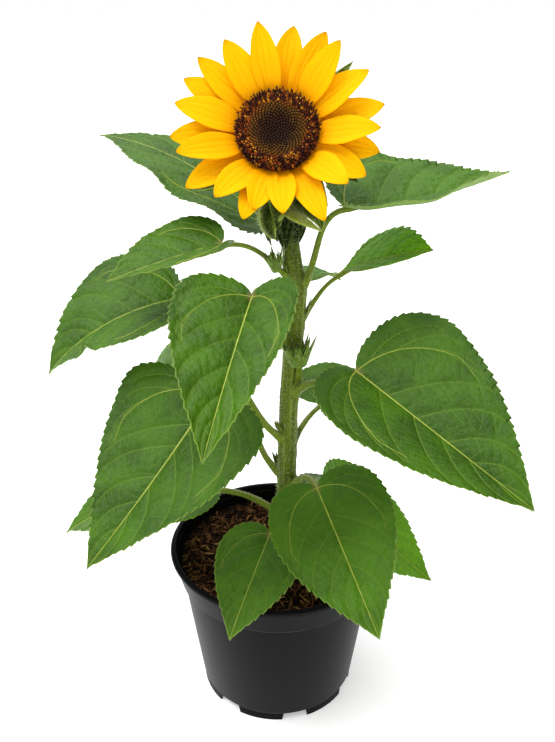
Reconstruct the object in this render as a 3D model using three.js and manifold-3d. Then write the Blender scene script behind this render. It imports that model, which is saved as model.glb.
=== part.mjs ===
// A potted sunflower: one open flower head, a leaning stem with sixteen stalked leaves, two side buds,
// and a round nursery pot filled with compost. Millimetres, +Z up. The origin is the centre of the pot's
// flat underside, and the flower looks towards -Y. Angles are in degrees.
import * as THREE from 'three';
import { mergeVertices } from 'three/addons/utils/BufferGeometryUtils.js';
import Module from 'manifold-3d';

const wasm = await Module();
wasm.setup();

// ---------------------------------------------------------------- driving dimensions

const GAP = 0.3; // clearance between touching pieces

const POT = {
  height: 144,
  rimRadius: 95,
  rimWidth: 5,
  lipHeight: 3.5,
  bandTopRadius: 92.6,
  bandFootRadius: 87.2,
  bandHeight: 26.5,
  bodyTopRadius: 84.8,
  bodyFootRadius: 70.3,
  footRadius: 69.4,
  footHeight: 8.5,
  wall: 2,
  floorThickness: 2.2,
  padRadius: 14, // a round pad under the middle of the floor, flush with the foot
  edge: 0.8, // the small chamfers of the rim, the band and the foot
  footTaper: 1,
  notches: 7,
  notchWidth: 20,
  notchHeight: 7.5,
  firstNotch: -77,
  sides: 30,
};

// Compost: the height of its surface, how uneven that is, the length of its waves and its rings of points.
const COMPOST = { level: 129.5, unevenness: 1.4, waves: [11, 13, 17], rings: [62, 34] };

// The middle line of the stem from its foot in the compost to the back of the head, and its radii.
const STEM = {
  line: [
    [8, 0, 117], [8, 0, 133], [8, -1, 210], [9.5, -3, 288], [13, -5, 343],
    [15, -6, 383], [11, -6, 408], [9, -5, 428], [7, 0, 452], [4, 2, 472],
  ],
  radii: [8, 8.8, 7.7, 7.4, 7.2, 6.9, 6.8, 6.8, 6.5, 6.2],
  segments: 16,
  sides: 12,
};

// The head is built in its own frame: +Z is the way the flower faces and +Y is its top.
const HEAD = {
  centre: [0, -32, 503],
  tiltUp: 32,
  turn: 4,
  discRadius: 31,
  discRise: 4.5,
  receptacleRadius: 33,
  receptacleDepth: 26,
  neckRadius: 9,
  neckOverlap: 6, // how far the stem's middle line runs on into the cup
  seat: -1.2, // underside of the disc
  sides: 16,
};

// A ray floret is rootShare of its width at its root, widens to the full width and closes to a blunt tip.
const RAY = {
  length: 42, width: 18.5, rootShare: 0.42, widening: 1.5, bluntness: 3.2,
  root: 30.5, keel: 1.6, thickness: 0.9, steps: 3,
};

// Ray directions round the head, anticlockwise from its +X, each with its length against RAY.length.
// rise: how steeply the whorl leaves the head's plane at the root and at the tip of a ray.
const FRONT_WHORL = {
  base: -3.4,
  rise: [34, 16],
  rays: [
    [11, 1], [51, 1], [86, 1], [126, 0.96], [158, 1.04], [192, 1.03], [220, 1.08],
    [251, 0.9], [280, 0.86], [316, 0.97], [355, 0.96],
  ],
};
const BACK_WHORL = {
  base: -5.4,
  rise: [23, 9],
  rays: [
    [30, 1], [66, 1], [102, 1.03], [143, 1.03], [175, 1], [203, 0.98], [238, 0.96],
    [266, 0.88], [299, 1.1], [332, 0.98], [345, 1],
  ],
};
const RING = { thickness: 1.6, inner: 22, outer: 32.5 };

// Bracts fold back from the head by reflexTop degrees above it and reflexFoot below it.
const BRACTS = [
  { count: 12, start: 8, length: 38, width: 17, reflexTop: 4, reflexFoot: 36 },
  { count: 9, start: 20, length: 24, width: 15, reflexTop: -14, reflexFoot: 14 },
];
// A bract is rootShare of its width at its root and widest at the share called widest; hidden is the
// part of its length that lies inside the cup, and crease is how deep its middle is folded.
const BRACT = {
  root: 27, depth: 9, thickness: 1.2, rootShare: 0.8, widest: 0.3, hidden: 4, crease: 1, steps: 3,
};

// A blade's outline runs from the stalk junction round a basal lobe to the shoulder, then to the tip.
const BLADE = { thickness: 1.2, curl: 0.1, lobeSteps: 4, tipSteps: 5, shoulderRib: 0.18, ribSteps: 40 };

// Each leaf, from the lowest up. foot: height of the stalk on the stem, and its direction round it.
// at: where the blade joins the stalk. heading: the blade's direction at the junction and at the tip.
// pitch and roll: the same for its slope and its bank. fold: how far the halves rise from the midrib.
const LEAVES = [
  { foot: [139, -115], at: [-6, -55, 191], heading: [-109, -115], pitch: [-16, -38], roll: [5, 0],
    length: 91, width: 75, fold: 14, skew: 0.05, lobe: 0.09, shoulder: 0.25 },
  { foot: [148, 55], at: [30, 28, 160], heading: [50, 48], pitch: [2, -50], roll: [0, 0],
    length: 112, width: 76, fold: 14, skew: 0, lobe: 0.09, shoulder: 0.25 },
  { foot: [166, 185], at: [-56, 7, 195], heading: [173, 180], pitch: [-5, -38], roll: [-4, -10],
    length: 149, width: 125, fold: 14, skew: 0, lobe: 0.09, shoulder: 0.25 },
  { foot: [182, 10], at: [40, 0, 205], heading: [-21, -23], pitch: [-42, -33], roll: [-4, 12],
    length: 125, width: 101, fold: 14, skew: -0.06, lobe: 0.09, shoulder: 0.27 },
  { foot: [197, -62], at: [31, -55, 235], heading: [-72, -64], pitch: [-19, -38], roll: [19, 29],
    length: 125, width: 97, fold: 14, skew: 0.02, lobe: 0.09, shoulder: 0.26 },
  { foot: [212, 145], at: [-46, 36, 297], heading: [146, 140], pitch: [2, -58], roll: [-26, -26],
    length: 124, width: 106, fold: 14, skew: 0, lobe: 0.09, shoulder: 0.25 },
  { foot: [237, 40], at: [38, 28, 267], heading: [42, 34], pitch: [10, -48], roll: [12, 12],
    length: 116, width: 88, fold: 8, skew: 0, lobe: 0.12, shoulder: 0.22 },
  { foot: [249, -145], at: [-47, -76, 327], heading: [-135, -143], pitch: [-42, -40], roll: [-13, -9],
    length: 146, width: 129, fold: 14, skew: -0.03, lobe: 0.05, shoulder: 0.14 },
  { foot: [290, -45], at: [57, -61, 339], heading: [-38, -29], pitch: [-23, -29], roll: [15, 20],
    length: 155, width: 145, fold: 22, skew: 0.08, lobe: 0.09, shoulder: 0.17 },
  { foot: [326, -118], at: [-17, -81, 403], heading: [-102, -105], pitch: [-20, -37], roll: [4, -13],
    length: 130, width: 91, fold: 24, skew: -0.13, lobe: 0.09, shoulder: 0.14 },
  { foot: [340, 175], at: [-74, -9, 376], heading: [201, 183], pitch: [-2, -52], roll: [-12, -20],
    length: 120, width: 114, fold: 20, skew: -0.05, lobe: 0.05, shoulder: 0.26 },
  { foot: [352, 0], at: [46, 1, 392], heading: [-19, -20], pitch: [30, 10], roll: [8, 20],
    length: 76, width: 65, fold: 14, skew: 0.05, lobe: 0.09, shoulder: 0.25 },
  { foot: [362, 80], at: [15, 24, 379], heading: [42, 32], pitch: [14, -52], roll: [-4, -4],
    length: 54, width: 46, fold: 14, skew: 0, lobe: 0.09, shoulder: 0.25 },
  { foot: [381, -10], at: [49, -7, 446], heading: [14, 20], pitch: [-1, 16], roll: [10, -2],
    length: 136, width: 126, fold: 22, skew: 0.09, lobe: 0.09, shoulder: 0.25 },
  { foot: [399, 195], at: [-40, -29, 425], heading: [200, 200], pitch: [-10, -16], roll: [-5, -11],
    length: 86, width: 74, fold: 20, skew: -0.07, lobe: 0.09, shoulder: 0.24 },
  { foot: [408, 115], at: [-11, 34, 425], heading: [156, 154], pitch: [39, 2], roll: [5, -4],
    length: 162, width: 118, fold: 14, skew: 0.09, lobe: 0.09, shoulder: 0.27 },
];

// A stalk leaves the stem at its rise angle, thickest at the stem, and ends just under its blade.
const STALK = { rise: 48, reach: 0.4, footRadius: 0.021, tipShare: 0.62, underlap: 5, segments: 6, sides: 6 };

// A bud's bract spreads and rises by these shares of its length.
const BUD_BRACT = { spread: 0.62, lift: 0.55, widening: 0.4, thickness: 1, lean: [-0.6, 0, 0.8] };
const BUD_STALK = { radiusShare: 0.32, segments: 4, sides: 6 };

// Side buds: foot on the stem, crown of the bud, bud radius, its narrow bracts, and the place in LEAVES
// of the leaf beside it.
const BUDS = [
  { foot: [298, -35], crown: [20, -17, 336], radius: 8,
    bracts: 5, bractLength: 19, bractWidth: 6, beside: 9 },
  { foot: [402, -150], crown: [-4, -16, 411], radius: 5,
    bracts: 4, bractLength: 14, bractWidth: 5, beside: 14 },
];

const COLOUR = {
  pot: '#232427', compost: '#5a3b26', stem: '#7d8f4a', stalk: '#8a9a45', blade: '#3f7a2c',
  ray: '#ffc60a', disc: '#3a1d12', bract: '#5f8a35', bud: '#4f7f2f',
};

// ---------------------------------------------------------------- helpers

const vec = (p) => new THREE.Vector3(...p);
const rad = THREE.MathUtils.degToRad;
const mix = THREE.MathUtils.lerp;

/** A closed solid of manifold-3d from a closed three.js geometry. */
function solidOf(geometry) {
  const bare = geometry.clone();
  bare.deleteAttribute('normal');
  bare.deleteAttribute('uv');
  const merged = mergeVertices(bare, 1e-4);
  const ids = merged.index.array;
  const triangles = [];
  for (let i = 0; i < ids.length; i += 3) {
    const [a, b, c] = [ids[i], ids[i + 1], ids[i + 2]];
    if (a !== b && b !== c && c !== a) triangles.push(a, b, c);
  }
  const vertProperties = new Float32Array(merged.attributes.position.array);
  const triVerts = new Uint32Array(triangles);
  return new wasm.Manifold(new wasm.Mesh({ numProp: 3, vertProperties, triVerts }));
}

/** A three.js geometry from a solid. */
function geometryOf(solid) {
  const mesh = solid.getMesh();
  const geometry = new THREE.BufferGeometry();
  geometry.setAttribute('position', new THREE.BufferAttribute(new Float32Array(mesh.vertProperties), 3));
  geometry.setIndex(new THREE.BufferAttribute(new Uint32Array(mesh.triVerts), 1));
  const flat = geometry.toNonIndexed();
  flat.computeVertexNormals();
  return flat;
}

/** The largest of a solid's separate pieces. */
function largest(solid) {
  const pieces = solid.decompose();
  return pieces.reduce((best, piece) => (piece.volume() > best.volume() ? piece : best));
}

/** A solid grown by about the clearance all round, to cut its seat in a neighbour. */
function swollen(solid) {
  const moves = [[GAP, 0, 0], [-GAP, 0, 0], [0, GAP, 0], [0, -GAP, 0], [0, 0, GAP], [0, 0, -GAP]];
  return moves.reduce((grown, move) => grown.add(solid.translate(move)), solid);
}

/** A closed geometry from rings of points, each ring of the same count, with a fan over both ends. */
function loft(rings) {
  const count = rings[0].length;
  const points = rings.flat();
  const index = [];
  for (let i = 0; i < rings.length - 1; i += 1) {
    for (let j = 0; j < count; j += 1) {
      const k = (j + 1) % count;
      const [a, b, c, d] = [i * count + j, i * count + k, (i + 1) * count + k, (i + 1) * count + j];
      index.push(a, b, c, a, c, d);
    }
  }
  const last = (rings.length - 1) * count;
  for (let j = 1; j < count - 1; j += 1) {
    index.push(0, j + 1, j);
    index.push(last, last + j, last + j + 1);
  }
  const geometry = new THREE.BufferGeometry().setFromPoints(points);
  geometry.setIndex(index);
  return geometry;
}

/** A round limb along a curve, whose radius at a share of its length is radiusAt(share). */
function limb(curve, radiusAt, segments, sides) {
  const frames = curve.computeFrenetFrames(segments, false);
  const rings = [];
  for (let i = 0; i <= segments; i += 1) {
    const share = i / segments;
    const centre = curve.getPointAt(share);
    const radius = radiusAt(share);
    const ring = [];
    for (let j = 0; j < sides; j += 1) {
      const angle = (j / sides) * 2 * Math.PI;
      const point = centre.clone();
      point.addScaledVector(frames.normals[i], radius * Math.cos(angle));
      point.addScaledVector(frames.binormals[i], radius * Math.sin(angle));
      ring.push(point);
    }
    rings.push(ring);
  }
  return loft(rings);
}

/** A thin closed blade: rows of { point, normal } run across it, and the first and last are one spot. */
function thinBlade(rows, thickness) {
  const rings = rows.map((row) => {
    const shift = (side) => row.map(({ point, normal }) => (
      point.clone().addScaledVector(normal, (side * thickness) / 2)));
    return [...shift(-1), ...shift(1).reverse()];
  });
  return loft(rings);
}

/** The head's frame: its origin is the middle of the disc's face. */
const headFrame = (() => {
  const [tilt, turn] = [rad(HEAD.tiltUp), rad(HEAD.turn)];
  const right = new THREE.Vector3(Math.cos(turn), -Math.sin(turn), 0);
  const facing = new THREE.Vector3(-Math.sin(turn), -Math.cos(turn), Math.tan(tilt)).normalize();
  const top = facing.clone().cross(right);
  return new THREE.Matrix4().makeBasis(right, top, facing).setPosition(...HEAD.centre);
})();

// ---------------------------------------------------------------- pot and compost

/** Radius of the pot's outside body at a height. */
function bodyRadius(z) {
  const bodyTop = POT.height - POT.bandHeight;
  return mix(POT.bodyFootRadius, POT.bodyTopRadius, (z - POT.footHeight) / (bodyTop - POT.footHeight));
}

function makePot() {
  const p = POT;
  const bandFoot = p.height - p.bandHeight;
  const lipFoot = p.height - p.lipHeight;
  const floorTop = p.footHeight + p.floorThickness;
  const profile = [
    [0, 0], [p.padRadius, 0], [p.padRadius, p.footHeight],
    [p.footRadius - p.wall - p.footTaper, p.footHeight], [p.footRadius - p.wall, 0],
    [p.footRadius, 0], [p.footRadius, p.footHeight], [p.bodyFootRadius, p.footHeight + p.edge],
    [p.bodyTopRadius, bandFoot - p.edge], [p.bandFootRadius, bandFoot],
    [p.bandTopRadius, lipFoot], [p.rimRadius, lipFoot + p.edge], [p.rimRadius, p.height - p.edge],
    [p.rimRadius - p.edge, p.height], [p.rimRadius - p.rimWidth, p.height],
    [p.bandTopRadius - p.wall, lipFoot - p.wall], [p.bandFootRadius - p.wall, bandFoot + p.edge],
    [p.bodyTopRadius - p.wall, bandFoot - p.wall], [bodyRadius(floorTop) - p.wall, floorTop], [0, floorTop],
  ].map(([r, z]) => new THREE.Vector2(r, z));
  const shell = new THREE.LatheGeometry(profile, p.sides);
  shell.rotateX(Math.PI / 2);
  let solid = solidOf(shell);
  const reach = 5; // how far a notch's cutter passes below and beside the foot ring
  for (let i = 0; i < p.notches; i += 1) {
    const notch = new THREE.BoxGeometry(p.wall + 2 * reach, p.notchWidth, p.notchHeight + reach);
    notch.translate(p.footRadius - p.wall / 2, 0, (p.notchHeight - reach) / 2);
    notch.rotateZ(rad(p.firstNotch + (360 * i) / p.notches));
    solid = solid.subtract(solidOf(notch));
  }
  return solid;
}

/** Height of the compost's surface, gently uneven. */
function compostLevel(x, y) {
  const [across, along, aslant] = COMPOST.waves;
  const waves = Math.sin(x / across) * Math.cos(y / along) + 0.6 * Math.sin((x + 2 * y) / aslant);
  return COMPOST.level + (COMPOST.unevenness * waves) / 1.6;
}

function makeCompost(stemHole) {
  const p = POT;
  const floor = p.footHeight + p.floorThickness + GAP;
  const wallRadius = (z) => bodyRadius(z) - p.wall - GAP;
  const shoulder = p.height - p.bandHeight - p.wall - 1;
  const edge = p.bandFootRadius - p.wall - GAP + 1;
  const profile = [
    [0, floor], [wallRadius(floor), floor], [wallRadius(shoulder), shoulder], [edge, COMPOST.level],
    ...COMPOST.rings.map((radius) => [radius, COMPOST.level]), [0, COMPOST.level],
  ].map(([r, z]) => new THREE.Vector2(r, z));
  const bed = new THREE.LatheGeometry(profile, p.sides);
  bed.rotateX(Math.PI / 2);
  const position = bed.attributes.position;
  for (let i = 0; i < position.count; i += 1) {
    const [x, y, z] = [position.getX(i), position.getY(i), position.getZ(i)];
    const inside = Math.hypot(x, y) < edge - 1;
    if (inside && z > COMPOST.level - 1) position.setZ(i, compostLevel(x, y));
  }
  return solidOf(bed).subtract(stemHole);
}

// ---------------------------------------------------------------- stem

const neckEnd = new THREE.Vector3(0, 0, HEAD.neckOverlap - HEAD.receptacleDepth).applyMatrix4(headFrame);
const stemCurve = new THREE.CatmullRomCurve3([...STEM.line.map(vec), neckEnd]);

/** Radius of the stem at a share of its length. */
function stemRadius(share) {
  const z = stemCurve.getPointAt(share).z;
  const above = STEM.line.findIndex((point) => point[2] > z);
  if (above < 1) return STEM.radii[above === 0 ? 0 : STEM.radii.length - 1];
  const [low, high] = [STEM.line[above - 1][2], STEM.line[above][2]];
  return mix(STEM.radii[above - 1], STEM.radii[above], (z - low) / (high - low));
}

function makeStem(swell) {
  return solidOf(limb(stemCurve, (share) => stemRadius(share) + swell, STEM.segments, STEM.sides));
}

/** Middle of the stem at a height. */
function stemAt(z) {
  let [low, high] = [0, 1];
  for (let i = 0; i < 30; i += 1) {
    const middle = (low + high) / 2;
    if (stemCurve.getPointAt(middle).z < z) low = middle;
    else high = middle;
  }
  return stemCurve.getPointAt(low);
}

// ---------------------------------------------------------------- leaves

/** A place on a leaf's midrib, with its direction, the way to its left and its upward normal. */
function ribFrame(leaf, share) {
  const inside = THREE.MathUtils.clamp(share, 0, 1);
  const direction = (s) => {
    const heading = rad(mix(...leaf.heading, s));
    const pitch = rad(mix(...leaf.pitch, s));
    return new THREE.Vector3(
      Math.cos(pitch) * Math.cos(heading), Math.cos(pitch) * Math.sin(heading), Math.sin(pitch));
  };
  const point = vec(leaf.at);
  const steps = Math.ceil(inside * BLADE.ribSteps);
  for (let i = 0; i < steps; i += 1) {
    point.addScaledVector(direction((inside * (i + 0.5)) / steps), (inside * leaf.length) / steps);
  }
  point.addScaledVector(direction(0), Math.min(share, 0) * leaf.length);
  const forward = direction(inside);
  const heading = rad(mix(...leaf.heading, inside));
  const level = new THREE.Vector3(-Math.sin(heading), Math.cos(heading), 0);
  const bank = rad(mix(...leaf.roll, inside));
  const left = level.applyAxisAngle(forward, bank);
  return { point, forward, left, normal: forward.clone().cross(left) };
}

/** A point of the blade: share along the midrib, and across in half widths, positive to the left. */
function bladePoint(leaf, share, across) {
  const { point, left, normal } = ribFrame(leaf, share);
  const halfWidth = (leaf.width / 2) * (1 + leaf.skew * Math.sign(across));
  const out = Math.abs(across) * halfWidth;
  const fold = rad(leaf.fold);
  point.addScaledVector(left, Math.sign(across) * out * Math.cos(fold));
  point.addScaledVector(normal, out * Math.sin(fold) - (BLADE.curl * out * out) / (leaf.width / 2));
  return { point, normal };
}

/** The outline of half a blade as [share along the midrib, half widths across], with its rib share. */
function bladeOutline(leaf) {
  const { lobe, shoulder } = leaf;
  const curveOf = (...points) => new THREE.CubicBezierCurve(...points.map((p) => new THREE.Vector2(...p)));
  const lobeCurve = curveOf([0, 0], [-1.25 * lobe, 0.14], [-1.35 * lobe, 1], [shoulder, 1]);
  const tipCurve = curveOf([shoulder, 1], [shoulder + 0.3, 1], [0.81, 0.33], [1, 0]);
  const outline = [];
  for (let i = 0; i <= BLADE.lobeSteps; i += 1) {
    const t = i / BLADE.lobeSteps;
    outline.push({ edge: lobeCurve.getPoint(t), rib: BLADE.shoulderRib * t });
  }
  for (let i = 1; i <= BLADE.tipSteps; i += 1) {
    const t = i / BLADE.tipSteps;
    outline.push({ edge: tipCurve.getPoint(t), rib: mix(BLADE.shoulderRib, 1, t) });
  }
  return outline;
}

function makeBlade(leaf) {
  const rows = bladeOutline(leaf).map(({ edge, rib }) => [-1, 0, 1].map((side) => {
    const part = Math.abs(side);
    return bladePoint(leaf, mix(rib, edge.x, part), Math.sign(side) * part * edge.y);
  }));
  return solidOf(thinBlade(rows, BLADE.thickness));
}

/** The middle line of a leaf's stalk, from inside the stem to just under the blade. */
function stalkCurve(leaf) {
  const [height, direction] = leaf.foot;
  const start = stemAt(height);
  const tipRadius = STALK.footRadius * leaf.length * STALK.tipShare;
  const { point, forward, normal } = ribFrame(leaf, 0);
  const end = point.clone().addScaledVector(normal, -(BLADE.thickness / 2 + GAP + tipRadius));
  end.addScaledVector(forward, STALK.underlap);
  const rise = rad(STALK.rise);
  const out = new THREE.Vector3(
    Math.cos(rise) * Math.cos(rad(direction)), Math.cos(rise) * Math.sin(rad(direction)), Math.sin(rise));
  const reach = start.distanceTo(end) * STALK.reach;
  const first = start.clone().addScaledVector(out, reach);
  const second = end.clone().addScaledVector(forward, -reach);
  return new THREE.CubicBezierCurve3(start, first, second, end);
}

function makeStalk(leaf, swell) {
  const footRadius = STALK.footRadius * leaf.length;
  const radiusAt = (share) => footRadius * mix(1, STALK.tipShare, Math.min(1, share * 1.4)) + swell;
  return solidOf(limb(stalkCurve(leaf), radiusAt, STALK.segments, STALK.sides));
}

// ---------------------------------------------------------------- flower head, in the head's own frame

function lathed(profile, sides) {
  const shape = new THREE.LatheGeometry(profile.map(([r, z]) => new THREE.Vector2(r, z)), sides);
  shape.rotateX(Math.PI / 2);
  return solidOf(shape);
}

/** The cup behind the flower, with a boss through the ray rings that carries the disc. */
function makeReceptacle(swell) {
  const { receptacleRadius: radius, receptacleDepth: depth, neckRadius: neck } = HEAD;
  const seat = BACK_WHORL.base - GAP;
  const top = HEAD.seat - GAP;
  const boss = RING.inner - GAP + swell;
  return lathed([
    [0, -depth - swell], [neck + swell, -depth - swell], [radius * 0.61 + swell, -depth * 0.75 - swell],
    [radius * 0.91 + swell, -depth * 0.42], [radius + swell, seat - 2], [radius - 1 + swell, seat + swell],
    [boss, seat + swell], [boss, top], [0, top],
  ], HEAD.sides);
}

function makeDisc() {
  const { discRadius: radius, discRise: rise, seat } = HEAD;
  const under = FRONT_WHORL.base + RING.thickness + GAP;
  return lathed([
    [0, seat], [RING.inner, seat], [RING.inner, under], [radius * 0.92, under], [radius, rise * 0.4],
    [radius * 0.95, rise], [radius * 0.62, rise * 1.13], [radius * 0.3, rise * 0.55], [0, rise * 0.4],
  ], HEAD.sides);
}

/** One ray floret, folded along its middle, pointing along +X from the ring. */
function makeRay(length, base, rise) {
  const { steps, bluntness } = RAY;
  const rows = [];
  const spine = new THREE.Vector2(RAY.root, base + RING.thickness / 2);
  for (let i = 0; i <= steps; i += 1) {
    const share = i / steps;
    const slope = rad(mix(...rise, share));
    const opening = Math.min(1, RAY.rootShare + RAY.widening * share);
    const half = (RAY.width / 2) * opening * Math.sqrt(Math.max(0, 1 - share ** bluntness));
    const normal = new THREE.Vector3(-Math.sin(slope), 0, Math.cos(slope));
    rows.push([-1, 0, 1].map((side) => {
      const point = new THREE.Vector3(spine.x, side * half, spine.y);
      const lift = side === 0 ? -RAY.keel * (half / (RAY.width / 2)) : 0;
      return { point: point.addScaledVector(normal, lift), normal };
    }));
    const stepSlope = rad(mix(...rise, (i + 0.5) / steps));
    spine.x += (Math.cos(stepSlope) * length) / steps;
    spine.y += (Math.sin(stepSlope) * length) / steps;
  }
  return solidOf(thinBlade(rows, RAY.thickness));
}

/** A whorl of rays joined by the ring that they stand on. */
function makeWhorl({ base, rise, rays }) {
  const { inner, outer, thickness } = RING;
  const ring = [[inner, base], [outer, base], [outer, base + thickness], [inner, base + thickness]];
  let solid = lathed([...ring, ring[0]], HEAD.sides);
  for (const [direction, share] of rays) {
    solid = solid.add(makeRay(RAY.length * share, base, rise).rotate([0, 0, direction]));
  }
  return solid;
}

/** One bract: a pointed blade that leaves the cup along +X and folds back by reflex degrees. */
function makeBract({ length, width }, reflex) {
  const { root, depth, rootShare, widest, hidden, crease, steps } = BRACT;
  const rows = [];
  for (let i = 0; i <= steps; i += 1) {
    const share = i / steps;
    const slope = rad(-reflex * Math.min(1, 2 * share));
    const opening = mix(rootShare, 1, share / widest);
    const closing = 1 - Math.max(0, (share - widest) / (1 - widest)) ** 1.3;
    const half = (width / 2) * (share < widest ? opening : closing);
    const normal = new THREE.Vector3(-Math.sin(slope), 0, Math.cos(slope));
    const reach = share * (length + hidden);
    const spine = new THREE.Vector3(root + reach * Math.cos(slope), 0, reach * Math.sin(slope) - depth);
    rows.push([-1, 0, 1].map((side) => {
      const point = spine.clone().setY(side * half);
      return { point: point.addScaledVector(normal, side === 0 ? -crease : 0), normal };
    }));
  }
  return solidOf(thinBlade(rows, BRACT.thickness));
}

/** The receptacle with its two rows of bracts, the lowest of which hang. */
function makeInvolucre() {
  let solid = makeReceptacle(0);
  for (const row of BRACTS) {
    for (let i = 0; i < row.count; i += 1) {
      const direction = row.start + (360 * i) / row.count;
      const lowness = (1 - Math.sin(rad(direction))) / 2;
      const bract = makeBract(row, mix(row.reflexTop, row.reflexFoot, lowness));
      solid = solid.add(bract.rotate([0, 0, direction]));
    }
  }
  return solid;
}

// ---------------------------------------------------------------- side buds

/** One narrow bract of a bud, spreading and rising along +X. */
function makeBudBract({ radius, bractLength, bractWidth }) {
  const rows = [0, 0.4, 1].map((share) => {
    const half = share < 1 ? (bractWidth / 2) * (1 + share * BUD_BRACT.widening) : 0;
    const out = radius * 0.5 + bractLength * share * BUD_BRACT.spread;
    const up = radius * (share - 0.4) + bractLength * share * BUD_BRACT.lift;
    return [-1, 0, 1].map((side) => (
      { point: new THREE.Vector3(out, side * half, up), normal: vec(BUD_BRACT.lean) }));
  });
  return solidOf(thinBlade(rows, BUD_BRACT.thickness));
}

/** A bud on a short stalk, with narrow spreading bracts. */
function makeBud(bud) {
  const { foot: [height, direction], crown, radius } = bud;
  const start = stemAt(height);
  const end = vec(crown);
  const rise = new THREE.Vector3(Math.cos(rad(direction)), Math.sin(rad(direction)), 1).normalize();
  const middle = start.clone().addScaledVector(rise, start.distanceTo(end) * 0.5);
  const path = new THREE.QuadraticBezierCurve3(start, middle, end);
  const stalk = limb(path, () => radius * BUD_STALK.radiusShare, BUD_STALK.segments, BUD_STALK.sides);
  let crownSolid = lathed([
    [0, -radius * 0.9], [radius * 0.8, -radius * 0.6], [radius, 0], [radius * 0.75, radius * 0.7],
    [0, radius],
  ], BUD_STALK.sides);
  for (let i = 0; i < bud.bracts; i += 1) {
    crownSolid = crownSolid.add(makeBudBract(bud).rotate([0, 0, (360 * i) / bud.bracts]));
  }
  const lean = end.clone().sub(middle).normalize();
  const upright = new THREE.Vector3(0, 0, 1);
  const turn = new THREE.Matrix4().makeRotationFromQuaternion(
    new THREE.Quaternion().setFromUnitVectors(upright, lean)).setPosition(end);
  return solidOf(stalk).add(crownSolid.transform(turn.elements));
}

// ---------------------------------------------------------------- the plant

const plant = new THREE.Group();
plant.name = 'sunflower_plant';

function addPiece(name, solid, colour, roughness) {
  const material = new THREE.MeshStandardMaterial({ color: colour, roughness, metalness: 0 });
  const mesh = new THREE.Mesh(geometryOf(solid), material);
  mesh.name = name;
  plant.add(mesh);
}

const nameOf = (kind, i) => `${kind}_${String(i + 1).padStart(2, '0')}`;
const toWorld = (solid) => solid.transform(headFrame.elements);
const fatStem = makeStem(GAP);
const stemHole = fatStem.add(fatStem.translate([0, 0, -GAP]));
const stem = largest(makeStem(0).subtract(toWorld(makeReceptacle(GAP))));
const involucre = largest(toWorld(makeInvolucre()).subtract(swollen(makeBlade(LEAVES.at(-1)))));

addPiece('pot', makePot(), COLOUR.pot, 0.45);
addPiece('compost', makeCompost(stemHole), COLOUR.compost, 0.95);
addPiece('stem', stem, COLOUR.stem, 0.7);
LEAVES.forEach((leaf, i) => {
  const blade = makeBlade(leaf);
  const stalk = largest(makeStalk(leaf, 0).subtract(fatStem).subtract(swollen(blade)));
  addPiece(nameOf('stalk', i), stalk, COLOUR.stalk, 0.7);
  addPiece(nameOf('leaf', i), blade, COLOUR.blade, 0.6);
});
BUDS.forEach((bud, i) => {
  const free = makeBud(bud).subtract(fatStem).subtract(makeStalk(LEAVES[bud.beside], GAP));
  addPiece(nameOf('side_bud', i), largest(free), COLOUR.bud, 0.7);
});
addPiece('involucre', involucre, COLOUR.bract, 0.75);
addPiece('rays_back', toWorld(makeWhorl(BACK_WHORL)), COLOUR.ray, 0.6);
addPiece('rays_front', toWorld(makeWhorl(FRONT_WHORL)), COLOUR.ray, 0.6);
addPiece('flower_disc', toWorld(makeDisc()), COLOUR.disc, 0.9);

export default plant;
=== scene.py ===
"""A potted sunflower in bloom, dressed around its fixed frame.

The plant is built piece by piece, each by its own class: the pot and its compost, the stem, the leaf
stalks and leaves, the side buds, and the flower head with its bracts, rays and disc. Sizes inside the
classes are in millimetres and angles in degrees; a mesh is turned to metres when it is made. Pieces are
seeded, so each run draws the same plant.
"""

import logging
import math
from dataclasses import dataclass, field
from enum import Enum
from typing import Iterable, Sequence

import bpy
import numpy as np
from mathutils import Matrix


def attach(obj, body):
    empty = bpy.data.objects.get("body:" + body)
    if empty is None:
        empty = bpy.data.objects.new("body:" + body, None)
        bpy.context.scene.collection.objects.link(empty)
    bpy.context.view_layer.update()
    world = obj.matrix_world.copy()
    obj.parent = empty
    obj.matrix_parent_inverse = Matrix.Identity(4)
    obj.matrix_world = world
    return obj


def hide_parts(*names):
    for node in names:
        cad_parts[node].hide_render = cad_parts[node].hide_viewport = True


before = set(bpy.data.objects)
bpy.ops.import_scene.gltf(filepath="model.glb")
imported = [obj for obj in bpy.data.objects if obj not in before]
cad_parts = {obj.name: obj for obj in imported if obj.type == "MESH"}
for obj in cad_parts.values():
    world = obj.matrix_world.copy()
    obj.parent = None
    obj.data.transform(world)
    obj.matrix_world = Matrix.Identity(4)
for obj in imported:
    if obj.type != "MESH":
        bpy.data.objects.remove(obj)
log = logging.getLogger("sunflower")

MM = 0.001
SEAM = 0.002 * MM  # vertices nearer than this are one
UP = np.array([0.0, 0.0, 1.0])
STEM_IN_CUP = 6.0  # how far the stem goes into the cup

Pair = tuple[float, float]
Triple = tuple[float, float, float]
Array = np.ndarray
Object = bpy.types.Object
Socket = bpy.types.NodeSocket
Tree = bpy.types.NodeTree


# ---------- colours and nodes

def linear(colour: str) -> tuple[float, ...]:
    """Linear RGBA of an sRGB hex colour.

    Args:
        colour: the colour as #rrggbb.

    Returns:
        Red, green, blue and an alpha of 1.
    """
    shares = [int(colour[i:i + 2], 16) / 255 for i in (1, 3, 5)]
    return (*(c / 12.92 if c <= 0.04045 else ((c + 0.055) / 1.055) ** 2.4 for c in shares), 1.0)


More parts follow.
